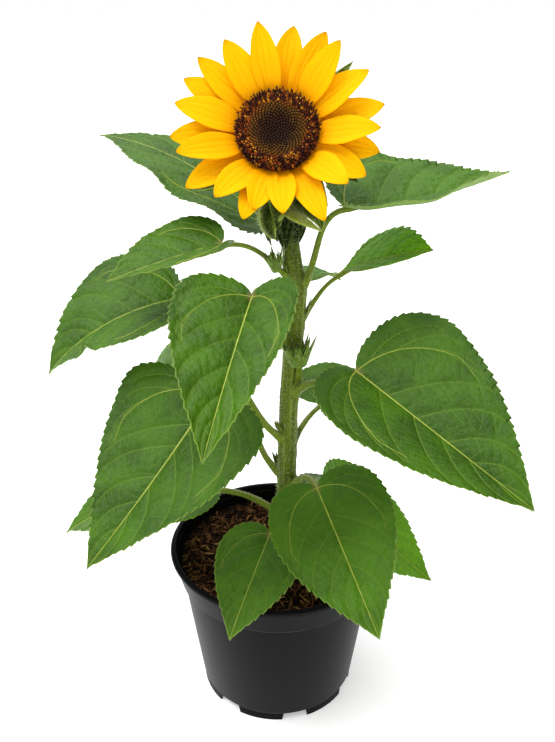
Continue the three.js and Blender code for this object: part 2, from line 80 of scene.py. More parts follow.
def add(tree: Tree, kind: str, sockets: dict | None = None, out: int | str | None = None,
        **settings: object) -> Socket | None:
    """Adds a node with its settings and links.

    Args:
        tree: the node tree that it joins.
        kind: the node's class name after ShaderNode.
        sockets: for each input, by name or number, a value, a hex colour or the socket linked to it.
        out: the wanted output, by name or number; without it the first one in use.
        settings: the node's own properties; stops holds a colour ramp's places and colours.

    Returns:
        The output, or None where the node has none.
    """
    node = tree.nodes.new("ShaderNode" + kind)
    for name, value in settings.items():
        if name != "stops":
            setattr(node, name, value)
            continue
        while len(node.color_ramp.elements) < len(value):
            node.color_ramp.elements.new(1.0)
        for element, (place, colour) in zip(node.color_ramp.elements, value):
            element.position = place
            element.color = linear(colour)
    for key, value in (sockets or {}).items():
        if isinstance(value, Socket):
            tree.links.new(value, node.inputs[key])
        else:
            node.inputs[key].default_value = linear(value) if isinstance(value, str) else value
    if out is not None:
        return node.outputs[out]
    return next((socket for socket in node.outputs if socket.enabled), None)


# ---------- finishes

@dataclass(frozen=True)
class Finish:
    """What a surface is made of: a colour, a fine relief and a gloss.

    relief_mm is the relief's depth, and grain_mm and grain_detail the size and fineness of its grain.
    """

    name: str
    roughness: float = 0.5
    ior: float = 1.45
    specular: float = 0.5
    relief_mm: float = 0.1
    grain_mm: float = 0.8
    grain_detail: float = 2.0
    glow: float = 0.0

    def colour(self, tree: Tree, place: Socket) -> Socket:
        """The colour over the surface.

        Args:
            tree: the material's node tree.
            place: the Object coordinates.

        Returns:
            The socket that gives the colour.
        """
        raise NotImplementedError

    def height(self, tree: Tree, place: Socket) -> Socket:
        """The height of the relief, from 0 to 1: a fine even grain.

        Args:
            tree: the material's node tree.
            place: the Object coordinates.

        Returns:
            The socket that gives the height.
        """
        return add(tree, "TexNoise", {"Vector": place, "Scale": 1 / (self.grain_mm * MM),
                                      "Detail": self.grain_detail})

    def material(self) -> bpy.types.Material:
        """The finish as a material, made once.

        Returns:
            The material of this finish's name.
        """
        known = bpy.data.materials.get(self.name)
        if known:
            return known
        material = bpy.data.materials.new(self.name)
        material.use_nodes = True
        tree = material.node_tree
        tree.nodes.clear()
        place = add(tree, "TexCoord", out="Object")
        bump = add(tree, "Bump", {"Height": self.height(tree, place), "Distance": self.relief_mm * MM})
        shader = add(tree, "BsdfPrincipled", {
            "Base Color": self.colour(tree, place), "Roughness": self.roughness, "IOR": self.ior,
            "Specular IOR Level": self.specular, "Emission Strength": self.glow, "Normal": bump})
        add(tree, "OutputMaterial", {"Surface": shader})
        return material


@dataclass(frozen=True)
class Mottled(Finish):
    """A living surface whose colour drifts between two tones, with a fine grain."""

    dark: str = "#000000"
    light: str = "#ffffff"
    patch_mm: float = 20.0

    def colour(self, tree: Tree, place: Socket) -> Socket:
        """Patches of the two tones."""
        patches = add(tree, "TexNoise", {"Vector": place, "Scale": 1 / (self.patch_mm * MM),
                                         "Detail": 4.0, "Roughness": 0.6})
        return add(tree, "ValToRGB", {"Fac": patches}, stops=[(0.3, self.dark), (0.7, self.light)])


@dataclass(frozen=True)
class Edged(Mottled):
    """A small downy blade, paler along its rims and its middle line, whose UV map runs across along U."""

    roughness: float = 0.6
    specular: float = 0.15
    relief_mm: float = 0.25
    patch_mm: float = 5.0
    edge: str = "#a3b24c"

    def colour(self, tree: Tree, place: Socket) -> Socket:
        """The mottled tissue with its paler lines."""
        tissue = super().colour(tree, place)
        across = add(tree, "SeparateXYZ", {0: add(tree, "TexCoord", out="UV")}, out=0)
        aside = add(tree, "Math", {0: across, 1: 0.5}, operation="SUBTRACT")
        off = add(tree, "Math", {0: aside}, operation="ABSOLUTE")
        rim = add(tree, "MapRange", {"Value": off, "From Min": 0.34, "From Max": 0.49, "To Min": 0.0,
                                     "To Max": 0.85})
        middle = add(tree, "MapRange", {"Value": off, "From Min": 0.0, "From Max": 0.07, "To Min": 0.5,
                                        "To Max": 0.0})
        both = add(tree, "Math", {0: rim, 1: middle}, operation="MAXIMUM")
        return add(tree, "Mix", {0: both, 6: tissue, 7: self.edge}, data_type="RGBA")


@dataclass(frozen=True)
class LeafSurface(Finish):
    """One face of a leaf blade: quilted tissue with a fine net of veinlets and a pale, hairy margin.

    The mesh carries how far a point is from the margin and from the stalk's junction in millimetres,
    how near it is to a vein, and how bright the whole leaf is.
    """

    deep: str = "#274803"
    fresh: str = "#518104"
    veined: str = "#5f8016"
    margin: str = "#8ea83c"
    blush: str = "#9a6a58"
    net_mm: float = 3.4
    net_share: float = 0.1

    def colour(self, tree: Tree, place: Socket) -> Socket:
        """Tissue tones, paler along veins, veinlets and the margin, and blushed at the junction."""
        tone, near, inset, reach = (add(tree, "Attribute", out="Fac", attribute_name=name)
                                    for name in ("tone", "halo", "margin", "junction"))
        drift = add(tree, "TexNoise", {"Vector": place, "Scale": 1 / (26 * MM), "Detail": 3.0})
        spread = add(tree, "MapRange", {"Value": drift, "From Min": 0.35, "From Max": 0.65,
                                        "To Min": -0.18, "To Max": 0.18})
        share = add(tree, "Math", {0: tone, 1: spread})
        tissue = add(tree, "Mix", {0: share, 6: self.deep, 7: self.fresh}, data_type="RGBA",
                     clamp_factor=False)
        cells = add(tree, "TexVoronoi", {"Vector": place, "Scale": 1 / (self.net_mm * MM)},
                    feature="DISTANCE_TO_EDGE")
        net = add(tree, "MapRange", {"Value": cells, "From Min": 0.0, "From Max": 0.16, "To Min": 1.0,
                                     "To Max": 0.0})
        faint = add(tree, "Math", {0: net, 1: self.net_share}, operation="MULTIPLY")
        both = add(tree, "Math", {0: near, 1: faint}, operation="MAXIMUM")
        veined = add(tree, "Mix", {0: both, 6: tissue, 7: self.veined}, data_type="RGBA")
        rim = add(tree, "MapRange", {"Value": inset, "From Min": 0.1, "From Max": 0.9, "To Min": 0.5,
                                     "To Max": 0.0})
        edged = add(tree, "Mix", {0: rim, 6: veined, 7: self.margin}, data_type="RGBA")
        heart = add(tree, "MapRange", {"Value": reach, "From Min": 1.0, "From Max": 4.5, "To Min": 0.5,
                                       "To Max": 0.0})
        return add(tree, "Mix", {0: heart, 6: edged, 7: self.blush}, data_type="RGBA")

    def height(self, tree: Tree, place: Socket) -> Socket:
        """Tissue that swells into low domes between the veinlets."""
        cells = add(tree, "TexVoronoi", {"Vector": place, "Scale": 1 / (self.net_mm * MM)},
                    feature="SMOOTH_F1")
        fall = add(tree, "Math", {0: cells, 1: 2.0}, operation="POWER")
        rough = add(tree, "TexNoise", {"Vector": place, "Scale": 1 / (0.6 * self.net_mm * MM),
                                       "Detail": 3.0, "Roughness": 0.65})
        return add(tree, "Math", {0: rough, 1: fall}, operation="SUBTRACT")


@dataclass(frozen=True)
class Limb(Finish):
    """The warty skin of a stem or stalk, streaked along it and paler along the lines of its attribute top.

    The mesh's UV map runs round the limb along U and along it along V. The attribute top is 1 on a stalk's
    upper side, and on the stem it holds the pale leaf-trace lines and a painted highlight on the rib crests.
    """

    grain_mm: float = 0.7
    dark: str = "#313f02"
    light: str = "#5e700b"
    pale: str = "#8c9c40"
    streaks: int = 14

    def colour(self, tree: Tree, place: Socket) -> Socket:
        """Lengthwise streaks of two greens, with the pale lines of the attribute top."""
        mapped = add(tree, "Mapping", {"Vector": add(tree, "TexCoord", out="UV"),
                                       "Scale": (self.streaks, 3.0, 1.0)})
        streak = add(tree, "TexNoise", {"Vector": mapped, "Scale": 1.0, "Detail": 3.0, "Roughness": 0.65})
        speck = add(tree, "TexNoise", {"Vector": place, "Scale": 1 / (1.4 * MM), "Detail": 2.0})
        total = add(tree, "Math", {0: streak, 1: speck})
        half = add(tree, "Math", {0: total, 1: 0.5}, operation="MULTIPLY")
        skin = add(tree, "ValToRGB", {"Fac": half}, stops=[(0.38, self.dark), (0.6, self.light)])
        top = add(tree, "Attribute", out="Fac", attribute_name="top")
        return add(tree, "Mix", {0: top, 6: skin, 7: self.pale}, data_type="RGBA")


@dataclass(frozen=True)
class Petal(Finish):
    """A ray floret's skin: warm at its root, clear yellow beyond, with fine lengthwise lines.

    The mesh's UV map runs across the ray along U and from root to tip along V.
    """

    root: str = "#ee9000"
    middle: str = "#f3ae00"
    outer: str = "#f5b700"
    tip: str = "#dd8e00"
    line: str = "#e89e00"
    lines: int = 15

    def colour(self, tree: Tree, place: Socket) -> Socket:
        """The gradient from root to tip, crossed by the fine lines."""
        along = add(tree, "SeparateXYZ", {0: add(tree, "TexCoord", out="UV")}, out=1)
        base = add(tree, "ValToRGB", {"Fac": along},
                   stops=[(0.0, self.root), (0.3, self.middle), (0.62, self.outer), (0.965, self.outer),
                          (1.0, self.tip)])
        faint = add(tree, "Math", {0: self.height(tree, place), 1: 0.14}, operation="MULTIPLY")
        fold = add(tree, "Attribute", out="Fac", attribute_name="groove")
        total = add(tree, "Math", {0: faint, 1: fold}, use_clamp=True)
        return add(tree, "Mix", {0: total, 6: base, 7: self.line}, data_type="RGBA")

    def height(self, tree: Tree, place: Socket) -> Socket:
        """Fine lengthwise ribs, evenly across the ray."""
        across = add(tree, "SeparateXYZ", {0: add(tree, "TexCoord", out="UV")}, out=0)
        level = add(tree, "CombineXYZ", {0: across})
        return add(tree, "TexWave", {"Vector": level, "Scale": self.lines / math.pi}, out="Fac",
                   bands_direction="X")


@dataclass(frozen=True)
class Tinted(Finish):
    """A joined piece of many small shapes, each with its own tint from 0 to 1."""

    grain_mm: float = 0.6
    tones: tuple[tuple[float, str], ...] = ((0.0, "#000000"), (1.0, "#ffffff"))

    def colour(self, tree: Tree, place: Socket) -> Socket:
        """The ramp of tones, read by each shape's tint."""
        tint = add(tree, "Attribute", out="Fac", attribute_name="tint")
        return add(tree, "ValToRGB", {"Fac": tint}, stops=list(self.tones))


@dataclass(frozen=True)
class MouldedPlastic(Finish):
    """Black polypropylene with a faint grain, and pale lines at its steps, partly dusty grime and partly
    painted highlight.
    """

    grain_detail: float = 3.0
    skin: str = "#060608"
    scuffed: str = "#0a0a0c"
    # The pale line colour is partly dusty grime and partly a painted highlight on the step edges.
    dust_and_highlight: str = "#6b645c"
    dust_and_highlight_lines: tuple[Pair, ...] = ()

    def colour(self, tree: Tree, place: Socket) -> Socket:
        """The black skin with thin pale lines at their heights, partly dusty grime and partly a painted
        highlight.
        """
        scuff = add(tree, "TexNoise", {"Vector": place, "Scale": 1 / (30 * MM), "Detail": 6.0})
        colour = add(tree, "Mix", {0: scuff, 6: self.skin, 7: self.scuffed}, data_type="RGBA")
        height = add(tree, "SeparateXYZ", {0: place}, out=2)
        broken = add(tree, "TexNoise", {"Vector": place, "Scale": 1 / (7 * MM), "Detail": 3.0})
        for level, strength in self.dust_and_highlight_lines:
            off = add(tree, "Math", {0: height, 1: level * MM}, operation="SUBTRACT")
            far = add(tree, "Math", {0: off}, operation="ABSOLUTE")
            line = add(tree, "MapRange", {"Value": far, "From Min": 0.15 * MM, "From Max": 0.55 * MM,
                                          "To Min": strength, "To Max": 0.0})
            part = add(tree, "Math", {0: line, 1: broken}, operation="MULTIPLY")
            colour = add(tree, "Mix", {0: part, 6: colour, 7: self.dust_and_highlight}, data_type="RGBA")
        return colour


# Living leaf tissue: waxy and faintly hairy, so it shines softly where light grazes it.
LEAF_TOP = LeafSurface("leaf tissue upper", roughness=0.35, specular=0.25, relief_mm=1.0)
# The underside is matt and pale with down.
LEAF_UNDER = LeafSurface("leaf tissue underside", roughness=0.7, specular=0.25, relief_mm=0.2, deep="#64843c",
                         fresh="#7d9c4a", veined="#97b066", margin="#9db070", blush="#7c7c4c")
# The fleshy main veins are nearly white-yellow on the upper face.
MAIN_VEIN = Mottled("leaf midrib tissue", roughness=0.5, dark="#93a232", light="#b0b84c", patch_mm=9)
# The side veins are thinner and let more green through.
SIDE_VEIN = Mottled("leaf side vein tissue", roughness=0.5, dark="#5a7a18", light="#6f8c26", patch_mm=9)
# Cross veins are only a little lighter than the tissue.
CROSS_VEIN = Mottled("leaf cross vein tissue", roughness=0.5, dark="#3f690c", light="#517d15", patch_mm=9)
# Green bark of a herbaceous stem: streaked, dull, with white bristles over it.
STEM_SKIN = Limb("sunflower stem skin", roughness=0.55, specular=0.15, relief_mm=0.25)
# Leaf stalks are smoother and yellower, with a pale channel along the top.
STALK_SKIN = Limb("leaf stalk skin", roughness=0.5, specular=0.2, relief_mm=0.12, dark="#4c6208",
                  light="#70821a", pale="#a8a46c", streaks=6)
# Bristles are clear white cell walls that catch the light.
BRISTLE = Mottled("plant bristle", roughness=0.45, dark="#a9b684", light="#d4dcb8", patch_mm=5)
# Hanging bracts: downy green tissue with pale rims, its deep green partly painted shade for the curled
# bract's hollow.
BRACT_SKIN = Edged("bract tissue", dark="#1e3005", light="#587418", edge="#9cb04c")
# Bracts under the head, thin and yellow-green: a lit copy of the bract tissue, its brightness painted light
# showing through them.
PAINTED_LIGHT_BRACT_SKIN = Edged("bract tissue with painted light", dark="#7c9220", light="#a4b83a", edge="#a3b440")
# The bracts round the cup's foot are matt, their near-black green painted shade under the head.
SKIRT_SKIN = Edged("bract tissue with painted shade", roughness=0.7, specular=0.05, dark="#070d01", light="#1d2c06",
                   edge="#35491a")
# The rows of bracts behind the rays: firm, downy, deep green tissue, darkened further as painted shade under
# the head.
ROW_SKIN = Edged("involucre bract tissue", specular=0.1, dark="#121c04", light="#384e0e", edge="#5f7826")
# The cup's flesh is as deep a green as its bracts: partly its own colour, partly painted shade under the
# head.
CUP_SKIN = Mottled("involucre tissue", roughness=0.6, specular=0.1, relief_mm=0.25, patch_mm=5,
                   dark="#121c04", light="#32460c")
# A closed bud's flesh is soft and green.
BUD_SKIN = Mottled("young bud tissue", roughness=0.6, specular=0.15, relief_mm=0.25, patch_mm=5,
                   dark="#253c08", light="#4a6414")
# The narrow bracts round a bud are fresher, with pale rims.
BUD_BRACT_SKIN = Edged("bud bract tissue", dark="#2d4c08", light="#67891c", edge="#93a84c")
# Ray florets are satin, nearly self-coloured tissue.
RAY_SKIN = Petal("ray floret tissue", roughness=0.6, specular=0.05, relief_mm=0.12)
# The disc's flesh between its florets is dark and matt.
DISC_FLESH = Mottled("disc receptacle tissue", roughness=0.8, specular=0.1, dark="#140904", light="#2a1408")
# Closed disc florets are nearly black in the middle of the disc and olive further out.
CLOSED_FLORET = Tinted("closed disc floret", roughness=0.4, specular=0.2, relief_mm=0.08,
                       tones=((0.0, "#241007"), (0.5, "#2e1606"), (0.68, "#452a08"), (0.9, "#603e08"),
                              (1.0, "#703a06")))
# Open disc florets are rust-coloured tubes, some of them orange.
OPEN_FLORET = Tinted("open disc floret", roughness=0.6, specular=0.2, relief_mm=0.08,
                     tones=((0.0, "#2a0e05"), (0.5, "#541d06"), (0.82, "#a04a06"), (1.0, "#cf8410")))
# Anther tubes are nearly black, with a faint shine.
ANTHER = Tinted("anther tube", roughness=0.5, specular=0.25, relief_mm=0.05,
                tones=((0.0, "#100503"), (0.6, "#220b05"), (1.0, "#441808")))
# Pollen is a dry yellow powder.
POLLEN = Tinted("pollen", roughness=0.8, tones=((0.0, "#d89010"), (1.0, "#f6cf3a")))
# Compost is moist and dull, near black: partly its own colour, partly painted shade for the gaps between the
# shreds.
COMPOST_BED = Mottled("moist compost with painted shade", roughness=0.95, specular=0.1, relief_mm=1.0, patch_mm=4,
                      dark="#080503", light="#1d110a")
# Its loose shreds of bark and coir are drier, from dark brown to tan; the lower ones are darker, a painted
# shade.
SHREDS = Tinted("shredded bark and coir", roughness=0.85, specular=0.15, relief_mm=0.3,
                tones=((0.0, "#160c06"), (0.35, "#3a2212"), (0.7, "#6b452a"), (0.92, "#94683f"),
                       (1.0, "#b98a5c")))
# The floor is a translucent white sheet, lit a little from beneath.
PAPER = Mottled("studio floor", roughness=0.9, specular=0.1, glow=0.33, patch_mm=400,
                dark="#f1f1f1", light="#f4f4f4")


# ---------- modelling by hand

def activate(obj: Object) -> Object:
    """Makes an object the only selected and active one.

    Args:
        obj: the object.

    Returns:
        The same object.
    """
    deselect()
    obj.select_set(True)
    bpy.context.view_layer.objects.active = obj
    return obj


def deselect() -> None:
    """Deselects everything, so that an operator acts on the new shape alone."""
    bpy.ops.object.select_all(action="DESELECT")


def newest(name: str) -> Object:
    """Names the active object, which is the one that the last operator made.

    Args:
        name: its new name.

    Returns:
        The object.
    """
    obj = bpy.context.active_object
    obj.name = obj.data.name = name
    return obj


def coordinates(obj: Object) -> Array:
    """The mesh's vertices in millimetres.

    Args:
        obj: the mesh object.

    Returns:
        The points, n by 3.
    """
    flat = np.empty(len(obj.data.vertices) * 3)
    obj.data.vertices.foreach_get("co", flat)
    return flat.reshape(-1, 3) / MM


def shaped_grid(name: str, net: Array) -> Object:
    """A grid primitive shaped onto a net of points.

    Args:
        name: the new object's name.
        net: points in millimetres as rows by columns by 3. The face points along column cross row.

    Returns:
        The new object, with its UV map running along the columns and the rows.
    """
    rows, columns = net.shape[:2]
    deselect()
    bpy.ops.mesh.primitive_grid_add(x_subdivisions=columns - 1, y_subdivisions=rows - 1, size=1)
    obj = newest(name)
    obj.data.vertices.foreach_set("co", (net * MM).ravel())
    obj.data.update()
    return obj


def stitch(obj: Object, close: bool = True, recalculate: bool = True) -> Object:
    """Closes a shape's seams and poles in edit mode and turns its faces outwards.

    Args:
        obj: the shape.
        close: whether seams and poles are closed.
        recalculate: whether faces are turned outwards afterwards.

    Returns:
        The same object.
    """
    activate(obj)
    bpy.ops.object.mode_set(mode="EDIT")
    bpy.ops.mesh.select_all(action="SELECT")
    if close:
        bpy.ops.mesh.remove_doubles(threshold=SEAM)
    if recalculate:
        bpy.ops.mesh.normals_make_consistent(inside=False)
    bpy.ops.object.mode_set(mode="OBJECT")
    return obj


def apply_modifier(obj: Object, kind: str, **settings: object) -> Object:
    """Adds a modifier to an object and applies it.

    Args:
        obj: the object.
        kind: the modifier's type.
        settings: its properties.

    Returns:
        The same object.
    """
    activate(obj)
    modifier = obj.modifiers.new(kind.title(), kind)
    for name, value in settings.items():
        setattr(modifier, name, value)
    bpy.ops.object.modifier_apply(modifier=modifier.name)
    return obj


def join(name: str, parts: Sequence[Object]) -> Object:
    """Joins parts into one object under a name.

    Args:
        name: the joined object's name.
        parts: the objects; the first one stays.

    Returns:
        The joined object.
    """
    activate(parts[0])
    for part in parts:
        part.select_set(True)
    if len(parts) > 1:
        bpy.ops.object.join()
    return newest(name)


def smooth(obj: Object) -> Object:
    """Shades an object smooth."""
    obj.data.polygons.foreach_set("use_smooth", np.ones(len(obj.data.polygons), bool))
    return obj


def coat(obj: Object, *finishes: Finish) -> Object:
    """Gives an object the finishes of its material slots, in order.

    Args:
        obj: the object.
        finishes: one finish for each slot.

    Returns:
        The same object.
    """
    obj.data.materials.clear()
    for finish in finishes:
        obj.data.materials.append(finish.material())
    return obj


def dress(obj: Object, slot: str, *finishes: Finish,
          replaces: Iterable[str] = ()) -> Object:
    """Gives a piece its finishes and its body, and hides the frame nodes that it stands for.

    Args:
        obj: the piece.
        slot: the record's material slot; not used.
        finishes: the finishes of its material slots, in order; none keeps those it has.
        replaces: the names of the frame's nodes that it replaces.

    Returns:
        The same object.
    """
    if finishes:
        coat(obj, *finishes)
    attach(obj, "root")
    nodes = tuple(replaces)
    if nodes:
        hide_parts(*nodes)
    log.info("%s: %d faces", obj.name, len(obj.data.polygons))
    return obj


def set_attribute(obj: Object, name: str, values: Array) -> None:
    """Stores one number for each vertex."""
    attribute = obj.data.attributes.new(name, "FLOAT", "POINT")
    attribute.data.foreach_set("value", np.asarray(values, np.float32).ravel())


class Unit:
    """A small shape modelled once and copied many times into a joined mesh."""

    def __init__(self, obj: Object) -> None:
        """Reads the shape and removes its object.

        Args:
            obj: the shape, in millimetres along its own axes, with +Z the way it stands.
        """
        self.points = coordinates(obj)
        self.faces = [np.array(polygon.vertices) for polygon in obj.data.polygons]
        bpy.data.objects.remove(obj)

    def scatter(self, name: str, places: Array, tints: Array) -> Object:
        """Copies the shape to many places as one mesh.

        Args:
            name: the joined object's name.
            places: a 4 by 4 matrix for each copy, in millimetres.
            tints: a number from 0 to 1 for each copy.

        Returns:
            The joined object, with the attribute tint.
        """
        count, size = len(places), len(self.points)
        world = np.einsum("kij,nj->kni", places[:, :3, :3], self.points) + places[:, None, :3, 3]
        totals = np.tile([len(face) for face in self.faces], count)
        loops = (np.concatenate(self.faces)[None, :] + np.arange(count)[:, None] * size).ravel()
        mesh = bpy.data.meshes.new(name)
        mesh.vertices.add(count * size)
        mesh.vertices.foreach_set("co", (world * MM).ravel())
        mesh.loops.add(len(loops))
        mesh.loops.foreach_set("vertex_index", loops)
        mesh.polygons.add(len(totals))
        mesh.polygons.foreach_set("loop_start", np.cumsum(totals) - totals)
        mesh.polygons.foreach_set("use_smooth", np.ones(len(totals), bool))
        mesh.update(calc_edges=True)
        mesh.validate()
        obj = bpy.data.objects.new(name, mesh)
        bpy.context.scene.collection.objects.link(obj)
        set_attribute(obj, "tint", np.repeat(tints, size))
        return obj


# ---------- curves and frames

def unit(vectors: Array) -> Array:
    """Vectors at length 1."""
    return vectors / np.maximum(np.linalg.norm(vectors, axis=-1, keepdims=True), 1e-9)


def bezier(controls: Sequence[Sequence[float]], shares: Array) -> Array:
    """Points of a Bezier curve of any degree.

    Args:
        controls: its control points.
        shares: places along it from 0 to 1.

    Returns:
        One point for each share.
    """
    points = np.asarray(controls, float)[:, None, :]
    t = np.asarray(shares, float)[None, :, None]
    while len(points) > 1:
        points = points[:-1] * (1 - t) + points[1:] * t
    return points[0]


def through(points: Sequence[Sequence[float]], steps: int) -> Array:
    """A smooth line through points, with centripetal spacing.

    Args:
        points: what it passes through.
        steps: how many steps each span has.

    Returns:
        The line's points.
    """
    nodes = np.asarray(points, float)
    nodes = np.vstack([2 * nodes[0] - nodes[1], nodes, 2 * nodes[-1] - nodes[-2]])
    t = np.linspace(0, 1, steps, endpoint=False)[:, None]
    line = []
    for a, b, c, d in zip(nodes, nodes[1:], nodes[2:], nodes[3:]):
        before, here, after = (np.linalg.norm(q - p) ** 0.5 for p, q in ((a, b), (b, c), (c, d)))
        first = ((b - a) / before - (c - a) / (before + here) + (c - b) / here) * here
        last = ((c - b) / here - (d - b) / (here + after) + (d - c) / after) * here
        line.append((2 * t ** 3 - 3 * t ** 2 + 1) * b + (t ** 3 - 2 * t ** 2 + t) * first
                    + (3 * t ** 2 - 2 * t ** 3) * c + (t ** 3 - t ** 2) * last)
    return np.vstack([*line, nodes[-2][None]])


def travelled(line: Array) -> Array:
    """How far along a line each of its points lies."""
    return np.concatenate([[0.0], np.cumsum(np.linalg.norm(np.diff(line, axis=0), axis=1))])


def read_off(places: Array, table: Array, rows: Array) -> Array:
    """Rows of numbers, interpolated between the places that a table gives them."""
    return np.stack([np.interp(places, table, column) for column in rows.T], axis=-1)


def even(line: Array, count: int) -> Array:
    """A line's points moved to even steps along it.

    Args:
        line: the line.
        count: how many points it is given.

    Returns:
        The new points.
    """
    gone = travelled(line)
    return read_off(np.linspace(0, gone[-1], count), gone, line)


def around(angle: float) -> Array:
    """The level direction at an angle in radians."""
    return np.array([math.cos(angle), math.sin(angle), 0.0])


def tangents(line: Array) -> Array:
    """The direction of a line at each point."""
    return unit(np.gradient(line, axis=0))


def wrapped_net(line: Array, ups: Array, radii: Array, sides: int) -> Array:
    """A net wrapped round a line, closed by a point at both ends.

    Args:
        line: the middle line.
        ups: the direction of the net's first column at each point.
        radii: a radius for each point, or for each point and side.
        sides: how many columns go round.

    Returns:
        The net, whose last column repeats the first.
    """
    along = tangents(line)
    high = unit(ups - along * np.sum(ups * along, axis=1, keepdims=True))
    wide = np.cross(along, high)
    angles = np.linspace(0, math.tau, sides + 1)
    spread = np.asarray(radii, float)
    spread = spread[:, None] if spread.ndim == 1 else np.hstack([spread, spread[:, :1]])
    ring = (np.cos(angles)[None, :, None] * high[:, None] + np.sin(angles)[None, :, None] * wide[:, None])
    net = line[:, None] + ring * spread[..., None]
    ends = [np.repeat(line[i][None, None], sides + 1, axis=1) for i in (0, -1)]
    return np.concatenate([ends[0], net, ends[1]])


def standing(points: Array, axes: Array, sizes: Array, spins: Array) -> Array:
    """Matrices that stand shapes on points.

    Args:
        points: where each shape's origin goes.
        axes: the direction of each shape's +Z.
        sizes: each shape's scale, one number or three.
        spins: each shape's turn about its own axis, in radians.

    Returns:
        A 4 by 4 matrix for each point.
    """
    z = unit(axes)
    helper = np.where(np.abs(z[:, 2:3]) > 0.9, [[1.0, 0.0, 0.0]], [[0.0, 0.0, 1.0]])
    x = unit(np.cross(helper, z))
    y = np.cross(z, x)
    cos, sin = np.cos(spins)[:, None], np.sin(spins)[:, None]
    scale = np.broadcast_to(np.asarray(sizes, float).reshape(len(points), -1), (len(points), 3))
    places = np.zeros((len(points), 4, 4))
    places[:, :3, 0] = (x * cos + y * sin) * scale[:, 0:1]
    places[:, :3, 1] = (y * cos - x * sin) * scale[:, 1:2]
    places[:, :3, 2] = z * scale[:, 2:3]
    places[:, :3, 3] = points
    places[:, 3, 3] = 1
    return places


def segment_distance(points: Array, starts: Array, ends: Array) -> Array:
    """The distance from each flat point to each flat segment.

    Args:
        points: the points, n by 2.
        starts: the segments' first ends, m by 2.
        ends: the segments' last ends, m by 2.

    Returns:
        Distances, n by m.
    """
    span = ends - starts
    off = points[:, None] - starts[None]
    share = np.clip(np.sum(off * span, axis=2) / np.maximum(np.sum(span * span, axis=1), 1e-9), 0, 1)
    return np.linalg.norm(off - share[..., None] * span, axis=2)


def inside(points: Array, polygon: Array) -> Array:
    """Which flat points lie inside a polygon.

    Args:
        points: flat points, n by 2.
        polygon: its corners, m by 2.

    Returns:
        Whether each point does.
    """
    following = np.roll(polygon, -1, axis=0)
    x, y = points[:, 0:1], points[:, 1:2]
    crosses = (polygon[:, 1] > y) != (following[:, 1] > y)
    run, rise = (following - polygon).T
    slope = run / np.where(rise == 0, 1, rise)
    return np.sum(crosses & (x < (y - polygon[:, 1]) * slope + polygon[:, 0]), axis=1) % 2 == 1


class Bristles:
    """White bristles on the plant's skins, collected and joined into one piece."""

    def __init__(self, seed: int) -> None:
        """Models one bristle as a narrow three-sided cone.

        Args:
            seed: the seed of the bristles' places.
        """
        deselect()
        bpy.ops.mesh.primitive_cone_add(vertices=3, radius1=0.09 * MM, radius2=0, depth=1 * MM,
                                        end_fill_type="NOTHING", location=(0, 0, 0.5 * MM))
        obj = activate(newest("bristle"))
        bpy.ops.object.transform_apply(location=True)
        self.unit = Unit(obj)
        self.random = np.random.default_rng(seed)
        self.places: list[Array] = []

    def grow(self, skin: Object, count: int, length: float, lean: float = 0.6) -> None:
        """Stands bristles on a skin, evenly by area.

        Args:
            skin: the mesh that they grow from.
            count: how many there are.
            length: their mean length.
            lean: how unruly they are, from 0 for upright.
        """
        mesh = skin.data
        mesh.calc_loop_triangles()
        corners = np.empty(len(mesh.loop_triangles) * 3, np.int64)
        mesh.loop_triangles.foreach_get("vertices", corners)
        a, b, c = coordinates(skin)[corners.reshape(-1, 3)].transpose(1, 0, 2)
        cross = np.cross(b - a, c - a)
        area = np.linalg.norm(cross, axis=1)
        picked = self.random.choice(len(area), count, p=area / area.sum())
        u, v = self.random.random((2, count, 1))
        flip = u + v > 1
        u, v = np.where(flip, 1 - u, u), np.where(flip, 1 - v, v)
        points = a[picked] + u * (b - a)[picked] + v * (c - a)[picked]
        axes = unit(cross[picked]) + lean * self.random.normal(size=(count, 3)) * 0.5
        sizes = np.ones((count, 3))
        sizes[:, 2] = length * self.random.uniform(0.5, 1.5, count)
        self.places.append(standing(points, axes, sizes, np.zeros(count)))

    def build(self) -> Object:
        """Joins all the bristles grown so far."""
        places = np.concatenate(self.places)
        return self.unit.scatter("plant_bristles", places, np.ones(len(places)))


def turned_net(profile: Sequence[Pair], sides: int) -> Array:
    """A net turned about +Z from [radius, height] points, from the bottom pole out, up and in.

    Args:
        profile: the section.
        sides: how many columns go round.

    Returns:
        The net, whose last column repeats the first.
    """
    angles = np.linspace(0, math.tau, sides + 1)
    rows = [np.stack([r * np.cos(angles), r * np.sin(angles), np.full(sides + 1, float(z))], axis=1)
            for r, z in profile]
    return np.array(rows)


# ---------- the pot and its compost

